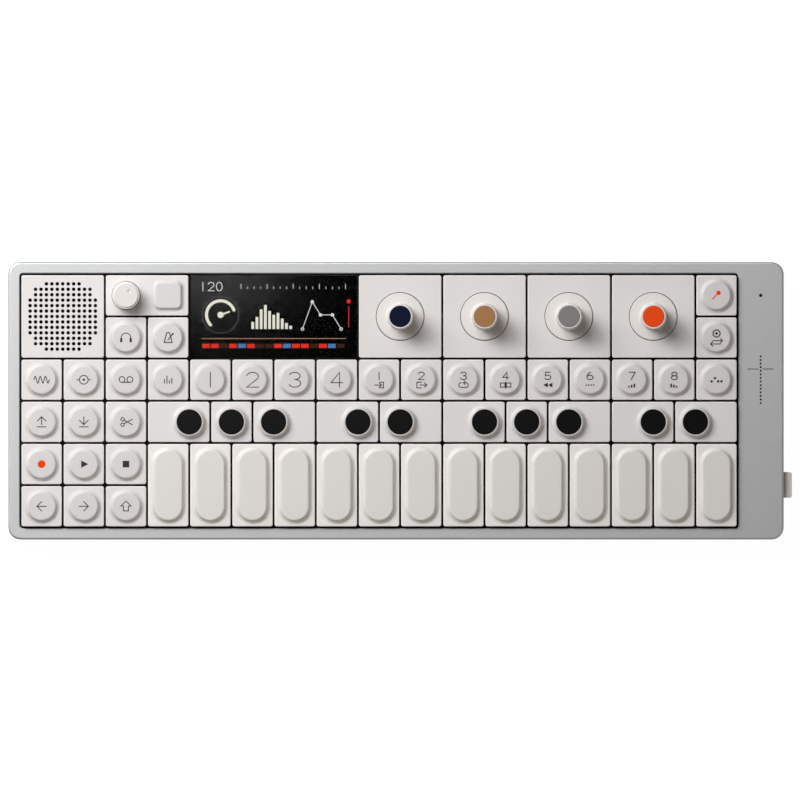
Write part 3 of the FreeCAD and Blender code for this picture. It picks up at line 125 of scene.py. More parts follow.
@dataclass(frozen=True)
class Finish:
    """A real surface and how it was made.

    Attributes:
        name: The material's name.
        colour: Its sRGB colour.
        roughness: How matt it is.
        grain_mm: Width of the surface's finest marks.
        relief_mm: Height of those marks.
        cloud_mm: Width of the slow changes of tone.
        cloud: How much the tone changes, as a share.
        unevenness: How far the roughness strays to each side.
        rubbed_grains: How many grains wide the rougher and smoother places are.
        rubbed_detail: How many finer sizes of such places there are.
    """

    name: str
    colour: str
    roughness: float
    grain_mm: float
    relief_mm: float
    cloud_mm: float = 40.0
    cloud: float = 0.02
    unevenness: ClassVar[float] = 0.05
    rubbed_grains: ClassVar[float] = 3.0
    rubbed_detail: ClassVar[float] = 3.0

    def material(self) -> bpy.types.Material:
        """The finish's material, made when it is first asked for."""
        made = bpy.data.materials.get(self.name)
        if made is None:
            made = bpy.data.materials.new(self.name)
            tree = empty_tree(made)
            place = add_node(tree, "ShaderNodeTexCoord").outputs["Object"]
            shader = add_node(tree, "ShaderNodeBsdfPrincipled", self.inputs(tree, place))
            add_node(tree, "ShaderNodeOutputMaterial", {"Surface": shader.outputs["BSDF"]})
        return made

    def inputs(self, tree: Tree, place: Socket) -> dict:
        """What the shader takes, by the name of its input.

        Args:
            tree: The material's tree.
            place: Where a point lies on the piece.

        Returns:
            Values and sockets.
        """
        return {
            "Base Color": self.tone(tree, place),
            "Roughness": self.polish(tree, place),
            "Normal": self.texture(tree, place),
            **self.constants(),
        }

    def tone(self, tree: Tree, place: Socket) -> Socket:
        """Colour that drifts a little over the piece, as a batch of real parts does.

        Args:
            tree: The material's tree.
            place: Where a point lies on the piece.

        Returns:
            The colour's socket.
        """
        clouds = {"Vector": place, "Scale": per_metre(self.cloud_mm), "Detail": 2.0}
        drift = add_node(tree, "ShaderNodeTexNoise", clouds).outputs["Fac"]
        darker, lighter = (
            tuple(min(1.0, channel * (1 + change)) for channel in linear(self.colour)[:3]) + (1.0,)
            for change in (-self.cloud, self.cloud)
        )
        return add_node(tree, "ShaderNodeMix", {0: drift, 6: darker, 7: lighter}, data_type="RGBA").outputs[2]

    def polish(self, tree: Tree, place: Socket) -> Socket:
        """Roughness that varies with the fine marks.

        Args:
            tree: The material's tree.
            place: Where a point lies on the piece.

        Returns:
            The roughness socket.
        """
        wide = per_metre(self.grain_mm * self.rubbed_grains)
        rubbed = {"Vector": place, "Scale": wide, "Detail": self.rubbed_detail}
        spread = {
            "Value": add_node(tree, "ShaderNodeTexNoise", rubbed).outputs["Fac"],
            "To Min": self.roughness - self.unevenness,
            "To Max": self.roughness + self.unevenness,
        }
        return add_node(tree, "ShaderNodeMapRange", spread).outputs["Result"]

    def texture(self, tree: Tree, place: Socket) -> Socket:
        """Fine relief.

        Args:
            tree: The material's tree.
            place: Where a point lies on the piece.

        Returns:
            The bumped normal's socket.
        """
        grains = {"Vector": place, "Scale": per_metre(self.grain_mm), "Detail": 2.0}
        height = add_node(tree, "ShaderNodeTexNoise", grains).outputs["Fac"]
        relief = {"Height": height, "Distance": self.relief_mm * MM, "Strength": 1.0}
        return add_node(tree, "ShaderNodeBump", relief).outputs["Normal"]

    def constants(self) -> dict[str, float]:
        """What is the same all over the surface, by shader input."""
        return {}


@dataclass(frozen=True)
class Moulded(Finish):
    """Plastic or rubber as it leaves its mould."""

    refraction: float = 1.54

    def constants(self) -> dict[str, float]:
        """What is the same all over the surface, by shader input."""
        return {"IOR": self.refraction}


@dataclass(frozen=True)
class PaintedLightTile(Moulded):
    """Light tile with a painted highlight on its rounded rim, and its sides painted black as shade down in
    the gaps.

    Attributes:
        gap_shade: Colour of the painted shade on the tile's sides.
        gap_shade_top_mm: Height above the table up to which the sides are painted black as shade.
        rim_mm: Lowest and highest level of the rounded rim, which carries the painted highlight.
        rim_highlight: How much lighter the painted highlight makes the rim, as a share.
    """

    gap_shade: str = "050505"
    gap_shade_top_mm: float = 17.53
    rim_mm: Span = (17.5, 17.69)
    rim_highlight: float = 0.42

    def tone(self, tree: Tree, place: Socket) -> Socket:
        """Tile's colour, lighter on its rim as a painted highlight and black on its sides as painted shade.

        Args:
            tree: The material's tree.
            place: Where a point lies on the piece.

        Returns:
            The colour's socket.
        """
        # Painted highlight on the rim; below it the tile's sides are painted black as shade.
        tile = banded(tree, place, super().tone(tree, place), self.rim_mm, self.rim_highlight)
        sides = {0: above(tree, place, self.gap_shade_top_mm), 6: linear(self.gap_shade), 7: tile}
        return add_node(tree, "ShaderNodeMix", sides, data_type="RGBA").outputs[2]


def above(tree: Tree, place: Socket, level_mm: float, falling: bool = False) -> Socket:
    """Whether a point lies above a level, with a short transition.

    Args:
        tree: The material's tree.
        place: Where the point lies on the piece.
        level_mm: The level.
        falling: Gives 1 below the level instead of above it.

    Returns:
        A socket from 0 to 1.
    """
    half_mm = 0.02
    start, end = (1.0, 0.0) if falling else (0.0, 1.0)
    step = {
        "Value": add_node(tree, "ShaderNodeSeparateXYZ", {0: place}).outputs["Z"],
        "From Min": (level_mm - half_mm) * MM,
        "From Max": (level_mm + half_mm) * MM,
        "To Min": start,
        "To Max": end,
    }
    return add_node(tree, "ShaderNodeMapRange", step).outputs["Result"]


def banded(tree: Tree, place: Socket, colour: Socket, levels_mm: Span, change: float) -> Socket:
    """Colour that is lighter or darker between two levels.

    Args:
        tree: The material's tree.
        place: Where a point lies on the piece.
        colour: The colour outside the band.
        levels_mm: The lower and the upper level.
        change: How much lighter the colour is there, as a share; below 0 it is darker.

    Returns:
        The colour's socket.
    """
    low, high = levels_mm
    sides = {0: above(tree, place, low), 1: above(tree, place, high, falling=True)}
    inside = add_node(tree, "ShaderNodeMath", sides, operation="MULTIPLY").outputs["Value"]
    share = {0: inside, 1: change, 2: 1.0}
    factor = add_node(tree, "ShaderNodeMath", share, operation="MULTIPLY_ADD").outputs["Value"]
    scaled = add_node(tree, "ShaderNodeVectorMath", {0: colour, "Scale": factor}, operation="SCALE")
    return scaled.outputs["Vector"]


@dataclass(frozen=True)
class Metal(Finish):
    """Metal, blasted, drawn or plated."""

    def constants(self) -> dict[str, float]:
        """What is the same all over the surface, by shader input."""
        return {"Metallic": 1.0}


@dataclass(frozen=True)
class EdgeShadedMetal(Metal):
    """Blasted metal whose rounded upper edge is painted a deeper grey, as painted shade that draws the case's
    outline.

    Attributes:
        edge_mm: Lowest and highest level of that edge, above the table.
        depth: How much darker the painted shade makes the edge, as a share.
    """

    edge_mm: Span = (15.3, 15.88)
    depth: float = 0.46

    def tone(self, tree: Tree, place: Socket) -> Socket:
        """The metal's colour, darker on the edge as painted shade.

        Args:
            tree: The material's tree.
            place: Where a point lies on the piece.

        Returns:
            The colour's socket.
        """
        return banded(tree, place, super().tone(tree, place), self.edge_mm, -self.depth)


@dataclass(frozen=True)
class Glass(Finish):
    """Clear polished glass, which has one roughness all over, apart from faint wiping marks."""

    refraction: float = 1.52
    unevenness: ClassVar[float] = 0.0045
    rubbed_grains: ClassVar[float] = 1.0
    rubbed_detail: ClassVar[float] = 2.0

    def constants(self) -> dict[str, float]:
        """What is the same all over the surface, by shader input."""
        return {"IOR": self.refraction, "Transmission Weight": 1.0}


@dataclass(frozen=True)
class LitPixels(Finish):
    """Part of a display that gives light.

    Attributes:
        glow: Strength of the light; 1 shows the colour as it is written.
        unlit: Colour of the pixels' own surface.
        refraction: That of pixels bonded to their glass, so that nearly nothing mirrors.
    """

    glow: float = 1.0
    unlit: str = "050505"
    refraction: float = 1.02

    def inputs(self, tree: Tree, place: Socket) -> dict:
        """What the shader takes, by the name of its input.

        Args:
            tree: The material's tree.
            place: Where a point lies on the piece.

        Returns:
            Values and sockets.
        """
        return {
            "Base Color": linear(self.unlit),
            "Roughness": self.roughness,
            "IOR": self.refraction,
            "Emission Color": self.tone(tree, place),
            "Emission Strength": self.glow,
        }


@dataclass(frozen=True)
class Cloth(Finish):
    """Plain-woven cloth; grain_mm is the spacing of its threads."""

    def texture(self, tree: Tree, place: Socket) -> Socket:
        """Threads that cross at right angles.

        Args:
            tree: The material's tree.
            place: Where a point lies on the piece.

        Returns:
            The bumped normal's socket.
        """
        spacing = {"Vector": place, "Scale": per_metre(self.grain_mm) * math.pi / 10}
        warp, weft = (
            add_node(tree, "ShaderNodeTexWave", spacing, bands_direction=direction).outputs["Fac"]
            for direction in "XY"
        )
        crossed = add_node(tree, "ShaderNodeMath", {0: warp, 1: weft}, operation="MAXIMUM")
        relief = {"Height": crossed.outputs["Value"], "Distance": self.relief_mm * MM}
        return add_node(tree, "ShaderNodeBump", relief).outputs["Normal"]


# Aluminium milled from a block, blasted with fine glass beads and anodised clear. The beads leave a
# satin skin that spreads a lamp's reflection wide. Their dimples are 0.05 mm across, drawn at 0.5 mm.
# The case's rounded upper edge is painted darker, as painted shade.
CASE_ALUMINIUM = EdgeShadedMetal("anodised_aluminium_blasted", "dddedf", 0.55, 0.5, 0.002, 25.0, 0.012)
# The window's edge is cut last, through the anodised skin, and scatters light more than the faces do.
CUT_ALUMINIUM = Metal("aluminium_cut_edge", "f5f5f5", 0.8, 0.3, 0.001)
COVER_ALUMINIUM = Metal("anodised_aluminium_cover", "c6c6c6", 0.55, 0.5, 0.002)
# ABS with a spark-eroded texture: matt, with a weak wide sheen. Its 0.1 mm pits are drawn at 0.4 mm.
# Both tile finishes paint a highlight on the tiles' rims and paint their sides black as shade in the gaps.
TILE_ABS = PaintedLightTile("abs_spark_eroded_light_grey", "dcd9d7", 0.5, 0.4, 0.003, 16.0, 0.012)
KEY_ABS = PaintedLightTile("abs_spark_eroded_ivory_grey", "e7e4e0", 0.5, 0.4, 0.003, 16.0, 0.012)
KNOB_ABS = Moulded("abs_satin_light_grey", "e8e4e1", 0.38, 0.4, 0.002, 12.0, 0.01)
SLIDER_ABS = Moulded("abs_satin_warm_grey", "e2dfdb", 0.42, 0.3, 0.002, 8.0, 0.01)
# Polycarbonate discs let into the short keys: through-coloured, near black, with a satin skin.
BLACK_DISC = Moulded("polycarbonate_black_satin", "0b0b0b", 0.3, 0.3, 0.0005, 6.0, 0.05, 1.36)
# Caps pressed into the controls: ABS from a finely polished mould, so that its colour stays deep.
CAP_BLUE = Moulded("abs_satin_dark_blue", "0b1530", 0.22, 0.3, 0.0005, 5.0, 0.03, 1.38)
CAP_OCHRE = Moulded("abs_satin_ochre", "aa7d52", 0.22, 0.3, 0.0005, 5.0, 0.03, 1.38)
CAP_GREY = Moulded("abs_satin_mid_grey", "888787", 0.22, 0.3, 0.0005, 5.0, 0.03, 1.38)
CAP_ORANGE = Moulded("abs_satin_orange", "f3511c", 0.22, 0.3, 0.0005, 5.0, 0.03, 1.38)
FRAME_PLASTIC = Moulded("abs_black_moulded", "060606", 0.6, 0.4, 0.004)
SOCKET_PLASTIC = Moulded("nylon_black_moulded", "121212", 0.5, 0.3, 0.002)
LIGHT_GUIDE = Moulded("acrylic_smoked_moulded", "0c0c0c", 0.3, 0.3, 0.001, refraction=1.49)
# Rubber and silicone scatter light in their skin, so they look dry and a little dusty.
FOOT_RUBBER = Moulded("rubber_black_moulded", "1d1d1d", 0.8, 0.25, 0.01, refraction=1.52)
MAT_SILICONE = Moulded("silicone_grey_moulded", "8b8d90", 0.7, 0.4, 0.005, refraction=1.41)
SCREW_STEEL = Metal("steel_nickel_plated", "b4b1ab", 0.28, 0.2, 0.002)
CONTROL_STEEL = Metal("steel_zinc_plated", "a5a7a9", 0.35, 0.3, 0.003)
SOCKET_STEEL = Metal("steel_drawn_tinned", "b8b8b8", 0.25, 0.3, 0.001)
CONTACT_GOLD = Metal("bronze_gold_plated", "d8b25a", 0.25, 0.2, 0.001)
FOIL = Metal("aluminium_foil_pouch", "b5b7ba", 0.4, 2.5, 0.05, 15.0, 0.04)
LAMINATE = Moulded("glass_fibre_solder_masked", "17352a", 0.35, 0.6, 0.004)
DRIVER_PAPER = Moulded("paper_cone_doped", "1a1a1a", 0.75, 0.3, 0.02)
# Cover glass is float glass with a fine etch against glare, which melts the lamps' edges.
COVER_GLASS = Glass("float_glass_etched", "f4f6f6", 0.09, 30.0, 0.0)
DISPLAY_FACE = Moulded("display_polariser_bonded", "040506", 0.3, 0.4, 0.0, refraction=1.02)
SPEAKER_CLOTH = Cloth("polyester_woven_black", "050505", 0.85, 0.6, 0.1)
# Pad-printed ink lies flat and dry on the cap.
INK_GREY = Moulded("ink_pad_printed_grey", "1c1b1a", 0.5, 0.2, 0.001, 3.0, 0.05)
INK_ORANGE = Moulded("ink_pad_printed_orange", "f24400", 0.22, 0.2, 0.0005, 3.0, 0.03, 1.38)
INK_FAINT = Moulded("ink_pad_printed_faint", "6f6f6f", 0.6, 0.2, 0.001, 3.0, 0.03)
# Lights of the display's pixels.
PIXEL_WHITE = LitPixels("pixels_white", "d9dbd9", 0.3, 0.3, 0.0)
PIXEL_CREAM = LitPixels("pixels_cream", "e9e6d6", 0.3, 0.3, 0.0)
PIXEL_GREY = LitPixels("pixels_grey", "5b5b5a", 0.3, 0.3, 0.0)
PIXEL_RED = LitPixels("pixels_red", "dc3224", 0.3, 0.3, 0.0)
PIXEL_BLUE = LitPixels("pixels_blue", "4779b0", 0.3, 0.3, 0.0)
PIXEL_TAN = LitPixels("pixels_tan", "b98a68", 0.3, 0.3, 0.0)
PIXEL_BROWN = LitPixels("pixels_brown", "3b2116", 0.3, 0.3, 0.0)


def dress(node: str, *finishes: Finish) -> bpy.types.Object:
    """Gives a carried-over node its materials.

    Args:
        node: The node's name.
        finishes: The finishes, the first of which covers the whole node.

    Returns:
        The node's object.
    """
    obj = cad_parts[node]
    obj.data.materials.clear()
    for finish in finishes:
        obj.data.materials.append(finish.material())
    for face in obj.data.polygons:
        face.material_index = 0
    log.info("dressed %s with %s", node, ", ".join(finish.name for finish in finishes))
    return obj


def repaint(obj: bpy.types.Object, index: int, inside: Callable[[Vector], bool]) -> int:
    """Gives another material to the faces that a test picks.

    Args:
        obj: The object.
        index: Number of the material slot.
        inside: Test of a face's middle.

    Returns:
        How many faces were picked.
    """
    picked = [face for face in obj.data.polygons if inside(face.center)]
    for face in picked:
        face.material_index = index
    return len(picked)


def make_piece(
    name: str,
    vertices: list[Vector],
    faces: list[list[int]],
    finish: Finish,
    body: str,
    smooth: bool = False,
) -> bpy.types.Object:
    """Makes one piece that rides on a body.

    Args:
        name: The piece's name.
        vertices: Its points, in metres.
        faces: Its faces, as lists of point numbers.
        finish: Its finish.
        body: The body that it moves with.
        smooth: Whether its round faces are shaded as one.

    Returns:
        The piece.
    """
    mesh = bpy.data.meshes.new(name)
    mesh.from_pydata(vertices, [], faces)
    mesh.materials.append(finish.material())
    if smooth:
        mesh.shade_smooth()
        mesh.set_sharp_from_angle(angle=math.radians(40))
    piece = add_object(name, mesh)
    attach(piece, body)
    log.info("made %s on %s with %d faces", name, body, len(mesh.polygons))
    return piece


def arc(x: float, y: float, across: float, up: float, start: float, end: float) -> list[Point]:
    """Points along part of an ellipse.

    Args:
        x: Middle of the ellipse, across.
        y: Middle of the ellipse, up.
        across: Half its width.
        up: Half its height.
        start: First angle, in degrees.
        end: Last angle, in degrees.

    Returns:
        The points, one for about every ten degrees.
    """
    steps = max(2, round(abs(end - start) / 10))
    angles = [math.radians(start + (end - start) * step / steps) for step in range(steps + 1)]
    return [(x + across * math.cos(angle), y + up * math.sin(angle)) for angle in angles]


@dataclass(frozen=True)
class Stroke:
    """A line of a legend, in millimetres about the legend's middle.

    Attributes:
        points: What the line runs through.
        closed: Whether it comes back to its start.
        bold: How much wider it is than the legend's other lines.
    """

    points: list[Point]
    closed: bool = False
    bold: float = 1.0


@dataclass(frozen=True)
class Patch:
    """A filled part of a legend, in millimetres about the legend's middle."""

    points: list[Point]


Marks = list[Stroke | Patch]
Mesh = tuple[list[Vector], list[list[int]]]


def oval(y: float, across: float, up: float) -> Stroke:
    """Ellipse drawn as a line, with its middle above or below the legend's."""
    return Stroke(arc(0, y, across, up, 0, 360)[:-1], True)


def ring(x: float, y: float, radius: float, bold: float = 1.0) -> Stroke:
    """Circle drawn as a line."""
    return Stroke(arc(x, y, radius, radius, 0, 360)[:-1], True, bold)


def dot(x: float, y: float, radius: float) -> Patch:
    """Filled circle."""
    return Patch(arc(x, y, radius, radius, 0, 360)[:-1])


def bar(left: float, low: float, right: float, high: float) -> Patch:
    """Filled rectangle."""
    return Patch([(left, low), (right, low), (right, high), (left, high)])


def box_line(left: float, low: float, right: float, high: float) -> Stroke:
    """Rectangle drawn as a line."""
    return Stroke([(left, low), (right, low), (right, high), (left, high)], True)


def shifted(marks: Marks, x: float, y: float) -> Marks:
    """The same marks, moved across and up."""
    return [replace(mark, points=[(px + x, py + y) for px, py in mark.points]) for mark in marks]


def numeral(digit: int, wide: float, high: float) -> Marks:
    """A digit as a draughtsman's single line.

    Args:
        digit: From 0 to 8.
        wide: Its width.
        high: Its height.

    Returns:
        Its strokes, about its middle.
    """
    a, b = wide / 2, high / 2
    hook = arc(0, 0.52 * b, 0.92 * a, 0.48 * b, 160, -90) + arc(0, -0.48 * b, a, 0.52 * b, 90, -160)
    flag = [(0.8 * a, b), (-0.75 * a, b), (-0.82 * a, 0.08 * b)]
    by_digit: tuple[Marks, ...] = (
        [oval(0, a, b)],
        [Stroke([(0, -b), (0, b)])],
        [Stroke(arc(0, 0.44 * b, a, 0.56 * b, 165, -38) + [(-a, -b), (a, -b)])],
        [Stroke(hook)],
        [Stroke([(0.45 * a, -b), (0.45 * a, b), (-a, -0.4 * b), (a, -0.4 * b)])],
        [Stroke(flag + arc(0, -0.4 * b, a, 0.6 * b, 128, -155))],
        [oval(-0.42 * b, a, 0.58 * b), Stroke(arc(0.62 * a, -0.42 * b, 1.62 * a, 1.42 * b, 180, 104))],
        [Stroke([(-a, b), (a, b), (-0.35 * a, -b)])],
        [oval(0.52 * b, 0.86 * a, 0.48 * b), oval(-0.48 * b, a, 0.52 * b)],
    )
    return by_digit[digit]


def open_box(near: float, far: float, half_high: float) -> Stroke:
    """Three sides of a box, open at its near end, drawn as a line."""
    return Stroke([(near, half_high), (far, half_high), (far, -half_high), (near, -half_high)])


def arrow(length: float, head: float, turn: float) -> Marks:
    """Thin arrow about its own middle.

    Args:
        length: From tail to tip.
        head: How far the head reaches back and to each side.
        turn: Direction in degrees, from rightwards.

    Returns:
        Its shaft and head.
    """
    cosine, sine = math.cos(math.radians(turn)), math.sin(math.radians(turn))
    half = length / 2
    shaft = [(-half, 0.0), (half, 0.0)]
    barbs = [(half - head, head), (half, 0.0), (half - head, -head)]
    return [
        Stroke([(x * cosine - y * sine, x * sine + y * cosine) for x, y in line]) for line in (shaft, barbs)
    ]


def wave_line(span: float, height: float, turns: float) -> Stroke:
    """Sine wave drawn as a line, about its middle.

    Args:
        span: Its length.
        height: From its troughs to its crests.
        turns: How many waves there are.

    Returns:
        The line.
    """
    steps = round(turns * 16)
    points = [
        (span * (step / steps - 0.5), height / 2 * math.sin(math.tau * turns * step / steps))
        for step in range(steps + 1)
    ]
    return Stroke(points)


class Symbol(Enum):
    """The signs on the round buttons, each as its marks in millimetres about its middle."""

    HEADPHONES = [
        Stroke(arc(0, -0.1, 1.75, 1.75, -8, 188)),
        bar(-2.15, -1.75, -1.35, -0.2),
        bar(1.35, -1.75, 2.15, -0.2),
    ]
    METRONOME = [
        Stroke([(-1.45, -1.8), (1.45, -1.8)] + arc(0, 1.35, 0.62, 0.5, 20, 160), True, 1.1),
        Stroke([(-0.1, -0.9), (1.7, 1.35)], bold=1.1),
        dot(1.7, 1.35, 0.38),
    ]
    MICROPHONE = [dot(0.75, 0.95, 0.8), Stroke([(0.55, 0.7), (-1.45, -1.35)], bold=1.1)]
    LINK = [
        ring(0, 1.5, 1.3, 1.3),
        dot(0, 1.5, 0.5),
        *shifted(arrow(3.6, 0.8, 0), 0.4, -1.15),
        *shifted(arrow(3.6, 0.8, 180), -0.4, -2.35),
    ]
    STEPS = [dot(x, y, 0.45) for x, y in ((-1.8, -0.6), (-0.6, 0.6), (0.6, -0.6), (1.8, -0.6))]
    WAVE = [wave_line(5.6, 2.5, 3.0)]
    TARGET = [
        ring(0, 0, 1.6),
        dot(0, 0, 0.45),
        *(Stroke([(side * 1.9, 0), (side * 2.5, 0)]) for side in (-1, 1)),
    ]
    TAPE = [ring(-1.45, 0.1, 1.05), ring(1.45, 0.1, 1.05), Stroke([(-1.45, -0.97), (1.45, -0.97)])]
    MIXER = [
        Stroke([(x, -1.25), (x, top)]) for x, top in ((-1.35, 0.1), (-0.45, 1.35), (0.45, -0.3), (1.35, 0.55))
    ]
    LIFT = [*shifted(arrow(2.9, 1.6, 90), 0, 0.45), Stroke([(-1.6, -1.8), (1.6, -1.8)])]
    DROP = [*shifted(arrow(2.9, 1.6, -90), 0, 0.45), Stroke([(-1.6, -1.8), (1.6, -1.8)])]
    SCISSORS = [
        ring(-1.25, 1.0, 0.62),
        ring(-1.25, -1.0, 0.62),
        Stroke([(-0.75, 0.68), (2.35, -1.0)]),
        Stroke([(-0.75, -0.68), (2.35, 1.0)]),
    ]
    RECORD = [dot(0, 0, 1.42)]
    PLAY = [Patch([(-0.95, -1.35), (1.65, 0), (-0.95, 1.35)])]
    STOP = [bar(-1.2, -1.2, 1.2, 1.2)]
    LEFT = arrow(3.4, 1.7, 180)
    RIGHT = arrow(3.4, 1.7, 0)
    CAPITAL = [
        Stroke([(0, 1.9), (-1.9, 0.1), (-0.9, 0.1), (-0.9, -1.7), (0.9, -1.7), (0.9, 0.1), (1.9, 0.1)], True)
    ]
    INTO = [*shifted(arrow(2.6, 0.85, 0), -0.4, 0), open_box(0.3, 1.6, 1.05)]
    OUT_OF = [*shifted(arrow(2.6, 0.85, 0), 0.75, 0), open_box(0.1, -1.6, 1.05)]
    LOOP = [
        Stroke(arc(-0.9, 0, 0.85, 0.85, 80, 270) + arc(0.9, 0, 0.85, 0.85, -90, 90)[1:] + [(0.1, 0.85)]),
        Stroke([(0.6, 1.45), (0.0, 0.85), (0.6, 0.25)]),
    ]
    SPLICE = [
        box_line(-1.9, -0.75, -0.25, 0.75),
        box_line(0.25, -0.75, 1.9, 0.75),
        Stroke([(0, -1.15), (0, 1.15)]),
    ]
    REVERSE = [Patch([(tip + 1.6, -0.9), (tip + 1.6, 0.9), (tip, 0.0)]) for tip in (-1.6, 0.1)]
    DOTS = [dot(x, 0, 0.28) for x in (-1.35, -0.45, 0.45, 1.35)]
    CLIMB = [bar(-1.5 + step, -0.9, -0.9 + step, -0.3 + 0.4 * step) for step in (0, 1, 2)]
    FALL = [bar(-1.5 + step, -0.9, -0.9 + step, 0.5 - 0.4 * step) for step in (0, 1, 2)]


@dataclass
class Print:
    """Marks that stand on a level face as thin closed films, in millimetres.

    Attributes:
        level: Height of the face.
        line: Width of the lines.
        film: How far a film stands proud.
        sink: How far it reaches into the face, so that no gap shows.
        step: How much higher each film is than the last, so that crossing lines share no face.
    """

    level: float
    line: float = 0.34
    film: float = 0.02
    sink: float = 0.03
    step: float = 0.002
    vertices: list[Vector] = field(default_factory=list)
    faces: list[list[int]] = field(default_factory=list)
    films: int = 0

    def draw(self, marks: Marks, middle: Point) -> "Print":
        """Adds marks about a point.

        Args:
            marks: The strokes and patches.
            middle: Where their middle lies.

        Returns:
            The same print.
        """
        for mark in marks:
            self.films += 1
            if isinstance(mark, Stroke):
                self.add_line(ribbon(mark, self.line), mark.closed, middle)
            else:
                self.add_patch(mark.points, middle)
        return self

    def heights(self) -> tuple[float, float]:
        """Top and underside of the film that is being drawn."""
        return self.level + self.film + self.step * self.films, self.level - self.sink

    def add_line(self, pairs: list[tuple[Vector, Vector]], closed: bool, middle: Point) -> None:
        """Adds a line as a flat bar that follows its path.

        Args:
            pairs: Its left and right edge at each step of the path.
            closed: Whether it comes back to its start.
            middle: Where its origin lies.
        """
        top, under = self.heights()
        base = len(self.vertices)
        for left, right in pairs:
            for point, height in ((left, top), (right, top), (right, under), (left, under)):
                self.vertices.append(Vector((middle[0] + point.x, middle[1] + point.y, height)) * MM)
        count = len(pairs)
        for place in range(count if closed else count - 1):
            here, there = base + 4 * place, base + 4 * ((place + 1) % count)
            for side in range(4):
                other = (side + 1) % 4
                self.faces.append([here + side, here + other, there + other, there + side])
        if not closed:
            last = base + 4 * (count - 1)
            self.faces.append([base, base + 3, base + 2, base + 1])
            self.faces.append([last, last + 1, last + 2, last + 3])

    def add_patch(self, points: list[Point], middle: Point) -> None:
        """Adds a filled outline.

        Args:
            points: Its corners.
            middle: Where its origin lies.
        """
        area = sum(a[0] * b[1] - b[0] * a[1] for a, b in zip(points, points[1:] + points[:1]))
        outline = points if area > 0 else points[::-1]
        base, count = len(self.vertices), len(outline)
        for height in self.heights():
            for x, y in outline:
                self.vertices.append(Vector((middle[0] + x, middle[1] + y, height)) * MM)
        self.faces.append([base + corner for corner in range(count)])
        self.faces.append([base + count + corner for corner in reversed(range(count))])
        for corner in range(count):
            after = (corner + 1) % count
            self.faces.append([base + corner, base + count + corner, base + count + after, base + after])

    def make(self, name: str, finish: Finish, body: str) -> bpy.types.Object:
        """Makes one piece of all that was drawn.

        Args:
            name: The piece's name.
            finish: Its finish.
            body: The body that it moves with.

        Returns:
            The piece.
        """
        return make_piece(name, self.vertices, self.faces, finish, body)


def ribbon(stroke: Stroke, wide: float) -> list[tuple[Vector, Vector]]:
    """Edges of a line with mitred corners and round ends.

    Args:
        stroke: The line.
        wide: Its width before its boldness.

    Returns:
        Its left and right edge at each step.
    """
    half, least_turn = wide * stroke.bold / 2, 0.45
    points = [Vector(point) for point in stroke.points]
    count = len(points)
    pairs = []
    for step, here in enumerate(points):
        onward = (points[(step + 1) % count] - here).normalized()
        into = (here - points[step - 1]).normalized()
        if not stroke.closed:
            into = into if step else onward
            onward = onward if step < count - 1 else into
        along = (into + onward).normalized()
        side = Vector((-along.y, along.x)) * half / max(least_turn, along.dot(onward))
        pairs.append((here + side, here - side))
    if not stroke.closed:
        for place, inward in ((0, points[1] - points[0]), (-1, points[-2] - points[-1])):
            pairs = with_round_end(pairs, place, -inward.normalized(), half)
    return pairs


def with_round_end(
    pairs: list[tuple[Vector, Vector]], place: int, outward: Vector, half: float
) -> list[tuple[Vector, Vector]]:
    """Rounds one end of a line.

    Args:
        pairs: The line's edges.
        place: 0 for its start, -1 for its end.
        outward: Direction out of that end.
        half: Half the line's width.

    Returns:
        The edges with the round end's steps added.
    """
    left, right = pairs[place]
    centre, side = (left + right) / 2, (left - right) / 2
    steps = []
    for angle in map(math.radians, (30, 55, 80)):
        away = centre + outward * half * math.sin(angle)
        steps.append((away + side * math.cos(angle), away - side * math.cos(angle)))
    return steps[::-1] + pairs if place == 0 else pairs + steps


def lathe(profile: list[Point], centre: Vector, axis: str, sides: int = 64) -> Mesh:
    """Turns a closed profile round an axis.

    Args:
        profile: Radius and place along the axis of each corner, in millimetres, counter-clockwise.
        centre: Where the axis starts, in millimetres.
        axis: "x" or "z".
        sides: How many steps go round.

    Returns:
        Points in metres, and faces.
    """
    vertices, faces = [], []
    count = len(profile)
    for step in range(sides):
        angle = math.tau * step / sides
        for radius, along in profile:
            across, up = radius * math.cos(angle), radius * math.sin(angle)
            local = Vector((along, across, up)) if axis == "x" else Vector((across, up, along))
            vertices.append((centre + local) * MM)
        here, ahead = step * count, (step + 1) % sides * count
        for corner in range(count):
            after = (corner + 1) % count
            faces.append([here + corner, ahead + corner, ahead + after, here + after])
    return vertices, faces


@dataclass(frozen=True)
class KeyGrid:
    """The grid of cells that tiles, keys and controls share, in millimetres."""

    pitch: float = 15.5
    left: float = -139.5
    rear: float = 46.5

    def cell(self, column: float, row: float) -> Point:
        """Middle of a cell, from the middle of the footprint."""
        return self.left + (column + 0.5) * self.pitch, self.rear - (row + 0.5) * self.pitch


GRID = KeyGrid()


def radius_about(point: Vector, middle: Point) -> float:
    """Distance in plan between a mesh's point and a place, in millimetres."""
    return math.hypot(point.x / MM - middle[0], point.y / MM - middle[1])


@dataclass(frozen=True)
class Inset:
    """A disc let into a node's top, in millimetres, with how far the paint reaches past it."""

    radius: float
    depth: float
    side_gap: float
    foot_gap: float = 0.05

    def paint(self, node: str, middle: Point) -> None:
        """Gives a node's second material to its disc.

        Args:
            node: The node's name.
            middle: The disc's middle.
        """
        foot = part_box(node)[1].z - (self.depth + self.foot_gap) * MM
        reach = self.radius + self.side_gap
        repaint(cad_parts[node], 1, lambda place: place.z > foot and radius_about(place, middle) < reach)


